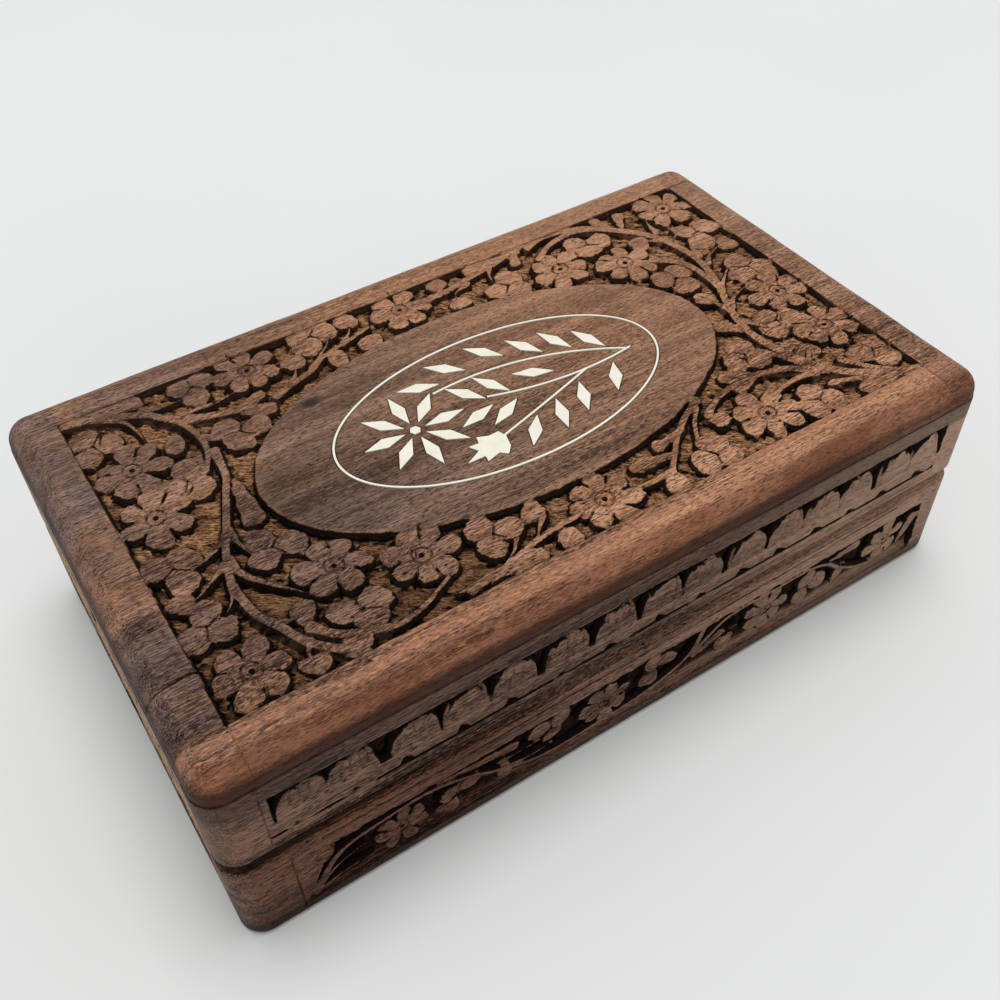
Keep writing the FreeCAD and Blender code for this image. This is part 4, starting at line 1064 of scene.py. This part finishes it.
def cloth_panel(node, body):
    """A cloth-covered card in the place of a CAD lining: soft edges, a slightly uneven face."""
    low, high = span(node)
    size = high - low
    thin = int(np.argmin(size))
    across, up = [axis for axis in range(3) if axis != thin]
    rng = np.random.default_rng(SEED + len(node) + int(100 * abs(low.sum())))
    columns = max(12, int(size[across] / CLOTH_STEP))
    rows = max(8, int(size[up] / CLOTH_STEP))
    u, v = np.meshgrid(np.linspace(0, 1, columns), np.linspace(0, 1, rows))
    edge = np.minimum(np.minimum(u, 1 - u) * size[across], np.minimum(v, 1 - v) * size[up])
    soft = 0.15 + 0.85 * np.sqrt(unit(edge / CLOTH_ROUND))
    uneven = 1 - 0.12 * (1 + value_noise(rng, u.shape, (max(2, rows // 5), max(2, columns // 5))))
    layers = []
    for sign in (-1, 1):
        points = np.zeros((rows, columns, 3))
        points[..., across] = low[across] + u * size[across]
        points[..., up] = low[up] + v * size[up]
        points[..., thin] = (low[thin] + high[thin]) / 2 + sign * size[thin] / 2 * soft * uneven
        layers.append(points.reshape(-1, 3))
    index = point_grid(rows, columns)
    rim = np.concatenate((index[0], index[1:, -1], index[-1, -2::-1], index[-2:0:-1, 0]))
    following = np.roll(rim, -1)
    side = np.stack((rim, following, following + index.size, rim + index.size), axis=-1)[:, ::-1]
    faces = [quads(index), quads(index + index.size)[:, ::-1], side]
    mesh = make_mesh(f"{node}_cloth", np.vstack(layers), faces)
    piece = add_piece(mesh, body, velvet, node)


def linings():
    """The cloth inside the base and the lid."""
    cloth_panel("base_floor_lining", "base")
    cloth_panel("lid_ceiling_lining", "lid")
    for body in ("base", "lid"):
        for side in ("front", "back", "left", "right"):
            cloth_panel(f"{body}_{side}_lining", body)


def linear(red, green, blue):
    """A screen colour from 0 to 255 as the shader's linear colour."""
    parts = []
    for value in (red, green, blue):
        share = value / 255
        parts.append(share / 12.92 if share <= 0.04045 else ((share + 0.055) / 1.055) ** 2.4)
    return (*parts, 1.0)


class Paint:
    """A node material whose colour is laid on in layers; a tuple of three is a screen colour."""

    def __init__(self, name):
        self.material = bpy.data.materials.new(name)
        self.material.use_nodes = True
        self.nodes = self.material.node_tree.nodes
        self.links = self.material.node_tree.links
        self.shader = self.nodes["Principled BSDF"]
        self.colour = None

    def join(self, source, socket):
        """Link a source to a socket, or set the socket to a colour, a number or a list of them."""
        if isinstance(source, bpy.types.NodeSocket):
            self.links.new(source, socket)
        elif isinstance(source, tuple):
            socket.default_value = linear(*source)
        else:
            socket.default_value = source

    def add(self, kind, inputs, **settings):
        """The outputs of a new node, made with some settings and inputs."""
        node = self.nodes.new(f"ShaderNode{kind}")
        for name, value in settings.items():
            setattr(node, name, value)
        for name, source in inputs.items():
            self.join(source, node.inputs[name])
        return node.outputs

    def place(self, scale, turn=0.0):
        """The point on the object in millimetres, turned about the upright, times a scale for each axis."""
        inputs = {"Vector": self.add("TexCoord", {})["Object"], "Rotation": [0, 0, math.radians(turn)]}
        inputs["Scale"] = [MM / value for value in scale]
        return self.add("Mapping", inputs, vector_type="TEXTURE")["Vector"]

    def noise(self, scale, detail=3.0, roughness=0.5, distortion=0.0, turn=0.0):
        """A random value from 0 to 1, with one scale or one for each axis."""
        scales = scale if isinstance(scale, tuple) else (scale, scale, scale)
        inputs = {"Vector": self.place(scales, turn), "Scale": 1.0, "Detail": detail}
        return self.add("TexNoise", {**inputs, "Roughness": roughness, "Distortion": distortion})["Fac"]

    def ramp(self, source, *stops):
        """A smooth run of colours, each stop a place from 0 to 1 and a colour."""
        node = self.nodes.new("ShaderNodeValToRGB")
        self.links.new(source, node.inputs["Fac"])
        elements = node.color_ramp.elements
        while len(elements) < len(stops):
            elements.new(0.5)
        for element, (spot, colour) in zip(elements, stops):
            element.position = spot
            element.color = linear(*colour)
        return node.outputs["Color"]

    def fade(self, source, low, high, end=1.0, start=0.0):
        """The source's value from low to high brought to a share from start to end."""
        inputs = {"Value": source, "From Min": low, "From Max": high, "To Min": start, "To Max": end}
        return self.add("MapRange", inputs, interpolation_type="SMOOTHSTEP")["Result"]

    def math(self, operation, first, second):
        """The sum, difference or product of two values."""
        return self.add("Math", {0: first, 1: second}, operation=operation)[0]

    def both(self, first, *others):
        """The product of some shares."""
        for other in others:
            first = self.math("MULTIPLY", first, other)
        return first

    def mix(self, share, first, second, blend="MIX"):
        """The first colour with a share of the second over it."""
        return self.add("Mix", {0: share, 6: first, 7: second}, data_type="RGBA", blend_type=blend)[2]

    def lay(self, share, tone):
        """Cover the colour so far by a share of a tone."""
        self.colour = self.mix(share, self.colour, tone)

    def tint(self, share, factors):
        """Multiply the colour so far by three factors, by a share."""
        self.colour = self.mix(share, self.colour, [*factors, 1.0], "MULTIPLY")

    def stored(self, name):
        """A number kept on the mesh's points."""
        return self.add("Attribute", {}, attribute_name=name)["Fac"]

    def axis(self, letter):
        """One coordinate of the point on the object, in millimetres."""
        return self.add("SeparateXYZ", {0: self.place((1, 1, 1))})[letter]

    def bump(self, height, strength, distance):
        """Fine relief by shading alone; the distance is in millimetres."""
        inputs = {"Height": height, "Strength": strength, "Distance": distance * MM}
        self.join(self.add("Bump", inputs)["Normal"], self.shader.inputs["Normal"])

    def finish(self, roughness):
        """The material with its colour and roughness on the shader."""
        self.join(self.colour, self.shader.inputs["Base Color"])
        self.join(roughness, self.shader.inputs["Roughness"])
        return self.material


def grain_scale(along, length, width):
    """Noise scale with long waves along the grain and short ones across it."""
    return (1 / length, 1 / width, 1 / width) if along == "X" else (1 / width, 1 / length, 1 / width)


def lay_grain(paint, along, dark, middle, light):
    """Soft broad streaks, fine fibres, short specks and open pores, before any wear."""
    streaks = paint.noise(grain_scale(along, 150, 6.5), 5.0, 0.6, 0.5)
    fibres = paint.noise(grain_scale(along, 26, 0.45), 3.0, 0.65)
    specks = paint.noise(grain_scale(along, 2.4, 0.42), 3.0, 0.7)
    pores = paint.noise(grain_scale(along, 2.0, 0.26), 2.0, 0.5)
    paint.colour = paint.ramp(streaks, (0.35, dark), (0.5, middle), (0.65, light))
    paint.lay(paint.fade(fibres, 0.5, 0.66, 0.85), dark)
    paint.lay(paint.fade(fibres, 0.47, 0.32, 0.75), light)
    paint.lay(paint.fade(specks, 0.51, 0.6, 0.55), dark)
    paint.lay(paint.fade(specks, 0.48, 0.38, 0.6), light)
    paint.lay(paint.fade(pores, 0.58, 0.65, 0.95), PORE_TONE)
    return fibres, pores


def age_wood(paint, ground, hollow, dirt_and_painted_shade, worn, wear):
    """Rough cut ground, painted shade on the smooth hollows, dirt and painted shade on the walls and in the
    corners, rubbed edges.
    """
    lift = paint.stored("lift")
    rubbed = paint.fade(paint.noise(0.2, 3.0, 0.6), 0.42, 0.6)
    paint.lay(paint.fade(paint.stored("depth"), 0.62, 0.88, 0.95), ground)
    # Painted shade on the hollow slopes beside the stems
    paint.lay(paint.fade(paint.stored("scoop"), 0.1, 0.8, 0.8), hollow)
    # Dirt and painted shade in the low places beside the walls
    paint.lay(paint.fade(lift, 0.36, 0.12, 0.7), dirt_and_painted_shade)
    paint.lay(paint.both(rubbed, paint.fade(lift, 0.58, 0.8, wear)), worn)
    # Dirt and painted shade on the steep walls of the carving
    paint.lay(paint.fade(paint.stored("steep"), 0.1, 0.55, 0.95), dirt_and_painted_shade)


def finish_wood(paint, fibres, pores, gloss):
    """Waxed sheen, dull in the pores and in the carving."""
    depth = paint.stored("depth")
    smears = paint.fade(paint.noise(0.05, 4.0, 0.6), 0.3, 0.7, 0.54, 0.36)
    roughness = paint.math("ADD", smears, paint.fade(depth, 0.1, 0.9, 0.35))
    strokes = paint.noise(STROKE_SCALE, 3.0, 0.6, 0.3, STROKE_TURN)
    strokes = paint.both(strokes, paint.fade(depth, 0.5, 0.9, 4.0))
    height = paint.math("SUBTRACT", paint.both(fibres, 0.6), paint.fade(pores, 0.55, 0.7, 0.9))
    paint.bump(paint.math("ADD", height, strokes), 0.9, 0.45)
    paint.shader.inputs["Specular IOR Level"].default_value = gloss
    return paint.finish(roughness)


def gouged(paint, dark, middle, light):
    """Short strokes of raw wood in the sunk ground, with dark tears between them."""
    strokes = paint.noise(STROKE_SCALE, 4.0, 0.65, 0.8, STROKE_TURN)
    raw = paint.ramp(strokes, (0.38, dark), (0.48, middle), (0.62, light))
    tears = paint.noise(TEAR_SCALE, 2.0, 0.5, 1.2, STROKE_TURN)
    return paint.mix(paint.fade(tears, 0.56, 0.64, 0.75), raw, dark)


def tone_plaque(paint, along, across):
    """The plaque: bright at its right, greyer and darker to its left, and a little more even than the rest.
    """
    plaque = paint.stored("plaque")
    even = paint.mix(paint.fade(across, 12, -25), (146, 106, 76), (114, 88, 72))
    paint.lay(paint.both(plaque, paint.fade(along, 15, 70, 0.3)), (186, 140, 112))
    paint.tint(paint.both(plaque, paint.fade(along, 60, -40, 0.65, 0.1)), (0.48, 0.66, 0.9))
    paint.lay(paint.fade(plaque, 0.0, 1.0, 0.25), even)


def tone_front(paint, across, patches):
    """The front border: pale streaks and flecks of rubbed wear and painted sheen, and darker where it rolls
    over.
    """
    front = paint.fade(across, -59, -62)
    streaks = paint.fade(paint.noise((0.025, 0.3, 0.3), 4.0, 0.6), 0.4, 0.64, 0.7)
    flecks = paint.fade(paint.noise((0.3, 1.5, 1.5), 4.0, 0.7), 0.52, 0.6, 0.7)
    # Rubbed wear and painted sheen along the front border
    paint.lay(paint.both(front, streaks), (180, 127, 100))
    paint.lay(paint.both(front, flecks), (206, 148, 106))
    rolled = paint.both(paint.fade(across, -67, -70), paint.fade(patches, 0.3, 0.6, 0.5, 0.9))
    paint.lay(rolled, (118, 73, 53))


def tone_ends(paint, along, across, golden):
    """The end borders: grey at the left round a spot rubbed by hands, and dull at the right."""
    left = paint.fade(along, -111, -114)
    handled = paint.both(paint.fade(across, -34, -12), paint.fade(across, 26, 4, 0.85))
    untouched = paint.math("SUBTRACT", 0.8, handled)
    paint.tint(paint.both(left, paint.fade(across, -64, -56), untouched), (0.68, 0.8, 0.96))
    paint.lay(paint.both(handled, left, paint.fade(golden, 0.42, 0.62, 0.45, 0.05)), (178, 130, 98))
    paint.tint(paint.fade(along, 112, 114, 0.6), (0.66, 0.72, 0.8))


def sunk_field(paint, along, across):
    """Raw wood between the carvings, darker to the front left corner and stained."""
    raw = gouged(paint, (52, 30, 19), (184, 130, 89), (244, 188, 138))
    corner = paint.both(paint.fade(along, 30, -70), paint.fade(across, 0, -50, 0.6, 0.1))
    raw = paint.mix(corner, raw, (48, 29, 20))
    return paint.mix(paint.fade(paint.noise(0.14, 3.0, 0.6), 0.48, 0.64, 0.55), raw, (58, 33, 21))


def make_wood_panel():
    """The lid's top: pale towards the back right, dark and grey at the left end."""
    paint = Paint("worn_carved_wood_top")
    fibres, pores = lay_grain(paint, "X", (72, 45, 33), (164, 116, 88), (218, 164, 130))
    along = paint.axis("X")
    across = paint.axis("Y")
    up = paint.axis("Z")
    patches = paint.noise((0.022, 0.05, 0.05), 5.0, 0.6, 0.5)
    golden = paint.noise((0.16, 0.2, 0.2), 5.0, 0.65, 0.4)
    blotches = paint.noise((0.03, 0.09, 0.09), 4.0, 0.6, 0.6)
    left = paint.both(paint.fade(along, 5, -80), paint.fade(patches, 0.35, 0.6, 0.8, 0.35))
    back = paint.both(paint.fade(across, -10, 45), paint.fade(along, -60, 60, 0.4, 0.1))
    paint.lay(paint.fade(golden, 0.5, 0.7, 0.45), (190, 138, 84))
    paint.tint(left, (0.38, 0.485, 0.7))
    paint.lay(back, (206, 155, 120))
    tone_plaque(paint, along, across)
    paint.lay(paint.fade(blotches, 0.52, 0.68, 0.25), (54, 33, 23))
    tone_front(paint, across, patches)
    tone_ends(paint, along, across, golden)
    # Painted shade of the hollow slopes beside the stems, darker towards the left
    hollow = paint.mix(paint.fade(along, 20, -60), (66, 40, 27), (44, 28, 20))
    # Dirt and painted shade of the lid's carving: near black towards the front, browner towards the back
    dirt_and_painted_shade = paint.mix(paint.fade(across, -10, 50), (9, 5, 4), (36, 21, 14))
    age_wood(paint, sunk_field(paint, along, across), hollow, dirt_and_painted_shade, (188, 138, 90), 0.25)
    rolled = paint.both(paint.fade(up, TOP - 2.8, TOP - 5.5), paint.fade(along, 125, 50, 0.85, 0.4))
    paint.lay(rolled, (52, 26, 17))
    paint.lay(paint.fade(up, PANEL_LOW + 0.6, PANEL_LOW + 0.1, 0.6), JOINT_TONE)
    # Stain of the knot and of the seam round the inlay
    paint.lay(paint.fade(paint.stored("stain_and_painted_shade"), 0.1, 0.9, 0.85), (48, 42, 39))
    return finish_wood(paint, fibres, pores, 0.06)


def make_wood_rail(name, along, dark, middle, light):
    """The sides: drier, with near-black recesses of dirt and painted shade, painted light towards the right
    end and round the lid's left corner, and painted shade on the base's bevel under the lid.
    """
    paint = Paint(name)
    fibres, pores = lay_grain(paint, along, dark, middle, light)
    across = paint.axis("X")
    up = paint.axis("Z")
    # Painted light towards the right end, in patches, stronger on the lid than on the base
    patchy_light = paint.fade(paint.noise((0.03, 0.03, 0.1), 4.0, 0.6), 0.35, 0.6, 0.9, 0.5)
    right = paint.both(paint.fade(across, -5, 115), patchy_light, paint.fade(up, 34, 42, 0.75, 0.5))
    # Painted light round the left corner of the lid's rails, as on the bright left end
    corner = paint.both(paint.fade(across, -95, -125), paint.fade(up, 36, 44, 0.25))
    shaded = paint.both(paint.fade(across, -10, -60), paint.fade(across, -128, -120))
    # Painted light at the right end
    paint.lay(right, (196, 160, 134))
    # Painted light round the lid's left corner
    paint.lay(corner, light)
    paint.tint(paint.both(shaded, paint.fade(up, 42, 36, 0.95)), (0.62, 0.5, 0.44))
    paint.lay(paint.fade(up, LOBE_TOP - 0.8, LOBE_TOP + 0.4, 0.5), dark)
    paint.lay(paint.fade(up, 8.0, 3.0, 0.7), (40, 25, 18))
    paint.lay(paint.fade(up, PANEL_LOW - 0.7, PANEL_LOW - 0.1, 0.6), JOINT_TONE)
    # The rails' sunk ground: near black, with dirt and painted shade
    raw = gouged(paint, RECESS_DIRT_AND_SHADE, (24, 13, 9), (54, 32, 22))
    # Painted shade on the rails' hollow slopes, and near-black dirt and painted shade on their walls and in
    # their corners
    age_wood(paint, raw, (36, 21, 15), RECESS_DIRT_AND_SHADE, (148, 115, 95), 0.5)
    # Painted shade on the base's bevel under the lid's rim
    paint.lay(paint.fade(paint.stored("stain_and_painted_shade"), 0.0, 1.0, 0.75), (22, 13, 9))
    return finish_wood(paint, fibres, pores, 0.05)


def make_plain_wood():
    """The bottom board: plain, dry and dusty."""
    paint = Paint("plain_bottom_wood")
    fibres, _ = lay_grain(paint, "X", (82, 56, 42), (122, 88, 66), (150, 114, 88))
    paint.bump(fibres, 0.4, 0.12)
    return paint.finish(paint.fade(paint.noise(0.04, 4.0, 0.6), 0.3, 0.7, 0.8, 0.6))


def make_bone():
    """The white inlay, slightly yellowed and scratched."""
    paint = Paint("white_inlay")
    yellowed = paint.noise(0.25, 4.0, 0.6)
    paint.colour = paint.ramp(yellowed, (0.3, (241, 235, 214)), (0.6, (248, 245, 230)))
    paint.lay(paint.fade(paint.noise(1.4, 3.0, 0.6), 0.66, 0.78, 0.35), (170, 148, 118))
    paint.bump(paint.noise((0.6, 6.0, 1.0), 2.0, 0.5), 0.2, 0.05)
    return paint.finish(paint.fade(yellowed, 0.3, 0.7, 0.5, 0.35))


def make_metal(name, bright, dull, rough_low, rough_high):
    """Aged metal: brushed, with dull spots."""
    paint = Paint(name)
    spots = paint.noise(0.5, 5.0, 0.65)
    paint.colour = paint.ramp(spots, (0.35, dull), (0.62, bright))
    paint.bump(paint.noise((0.3, 9.0, 9.0), 2.0, 0.5), 0.25, 0.05)
    paint.shader.inputs["Metallic"].default_value = 1.0
    return paint.finish(paint.fade(spots, 0.3, 0.7, rough_low, rough_high))


def make_velvet():
    """Deep red short-pile cloth with a soft sheen."""
    paint = Paint("red_velvet")
    brushed = paint.noise((0.02, 0.14, 0.14), 5.0, 0.6, 0.4, 12.0)
    pile = paint.noise(2.6, 3.0, 0.7)
    paint.colour = paint.ramp(brushed, (0.3, (98, 15, 24)), (0.55, (114, 20, 30)), (0.75, (128, 27, 37)))
    paint.lay(paint.fade(pile, 0.4, 0.7, 0.4), (62, 8, 14))
    paint.bump(pile, 0.6, 0.3)
    paint.shader.inputs["Sheen Weight"].default_value = 0.6
    paint.shader.inputs["Sheen Roughness"].default_value = 0.4
    paint.shader.inputs["Sheen Tint"].default_value = linear(220, 120, 120)
    return paint.finish(paint.fade(brushed, 0.3, 0.7, 0.95, 0.8))


def dress_nodes():
    """Materials on the CAD nodes that stay: inlay, nails, hinges with their screws, and the bottom."""
    finishes = {"inlay": bone, "nails": steel, "hinge": brass, "base_bottom_panel": plain_wood}
    for name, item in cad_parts.items():
        for word, material in finishes.items():
            if word in name:
                item.data.materials.clear()
                item.data.materials.append(material)


def make_floor():
    """A plain pale floor that takes the box's shadow."""
    paint = Paint("pale_floor")
    grain = paint.noise(0.004, 2.0, 0.5)
    paint.colour = paint.ramp(grain, (0.3, (234, 236, 235)), (0.7, (238, 240, 239)))
    corners = [(x * FLOOR_HALF, y * FLOOR_HALF, FLOOR_LEVEL) for x, y in ((-1, -1), (1, -1), (1, 1), (-1, 1))]
    mesh = make_mesh("floor", np.array(corners), [np.array([[0, 1, 2, 3]])])
    mesh.materials.append(paint.finish(paint.fade(grain, 0.3, 0.7, 0.7, 0.6)))
    floor = put("floor", mesh)


def light_scene():
    """A soft sky, a little brighter overhead, and a broad sun from nearly straight above."""
    world = bpy.data.worlds.new("studio")
    bpy.context.scene.world = world
    world.use_nodes = True
    nodes = world.node_tree.nodes
    links = world.node_tree.links
    way = nodes.new("ShaderNodeVectorMath")
    way.operation = "DOT_PRODUCT"
    way.inputs[1].default_value = Vector(BRIGHT_WAY).normalized()
    links.new(nodes.new("ShaderNodeTexCoord").outputs["Generated"], way.inputs[0])
    shade = nodes.new("ShaderNodeMapRange")
    shade.inputs["From Min"].default_value = -0.5
    shade.inputs["To Min"].default_value = SKY_DIM
    shade.inputs["To Max"].default_value = SKY_BRIGHT
    links.new(way.outputs["Value"], shade.inputs["Value"])
    links.new(shade.outputs["Result"], nodes["Background"].inputs["Strength"])
    nodes["Background"].inputs["Color"].default_value = (1.0, 1.0, 1.0, 1.0)
    lamp = bpy.data.lights.new("window", "SUN")
    lamp.energy = SUN_STRENGTH
    lamp.angle = math.radians(SUN_SPREAD)
    put("window", lamp).rotation_euler = Vector(BRIGHT_WAY).to_track_quat("Z", "Y").to_euler()


def add_camera():
    """The camera at the photograph's place, with its turn and lens."""
    azimuth = math.radians(CAMERA_AZIMUTH)
    roll = math.radians(CAMERA_ROLL)
    rise = math.tan(math.radians(CAMERA_ELEVATION))
    back = Vector((math.sin(azimuth), -math.cos(azimuth), rise)).normalized()
    level = Vector((0, 0, 1)).cross(back).normalized()
    upright = back.cross(level)
    right = math.cos(roll) * level + math.sin(roll) * upright
    up = math.cos(roll) * upright - math.sin(roll) * level
    data = bpy.data.cameras.new("camera")
    data.sensor_width = SENSOR
    data.lens = CAMERA_LENS
    data.clip_start = 0.01
    camera = put("camera", data)
    camera.matrix_world = Matrix.Translation(CAMERA_PLACE) @ Matrix((right, up, back)).transposed().to_4x4()
    bpy.context.scene.camera = camera


wood_panel = make_wood_panel()
wood_lid = make_wood_rail("worn_carved_wood_lid", "X", (44, 29, 22), (114, 84, 69), (156, 120, 100))
wood_base = make_wood_rail("worn_carved_wood_base", "X", (38, 23, 17), (108, 78, 64), (160, 122, 101))
# The end rails: paler wood, made lighter still as painted light for the bright left end
wood_end_pale_and_lit = make_wood_rail("worn_carved_wood_end", "Y", (116, 86, 64), (166, 132, 104), (200, 168, 136))
plain_wood = make_plain_wood()
bone = make_bone()
brass = make_metal("aged_brass", (190, 150, 84), (110, 84, 48), 0.35, 0.55)
steel = make_metal("wire_steel", (150, 148, 144), (96, 90, 84), 0.4, 0.6)
velvet = make_velvet()

lid_panel()
rails()
linings()
dress_nodes()
make_floor()
light_scene()
add_camera()
bpy.context.scene.view_settings.view_transform = "Standard"
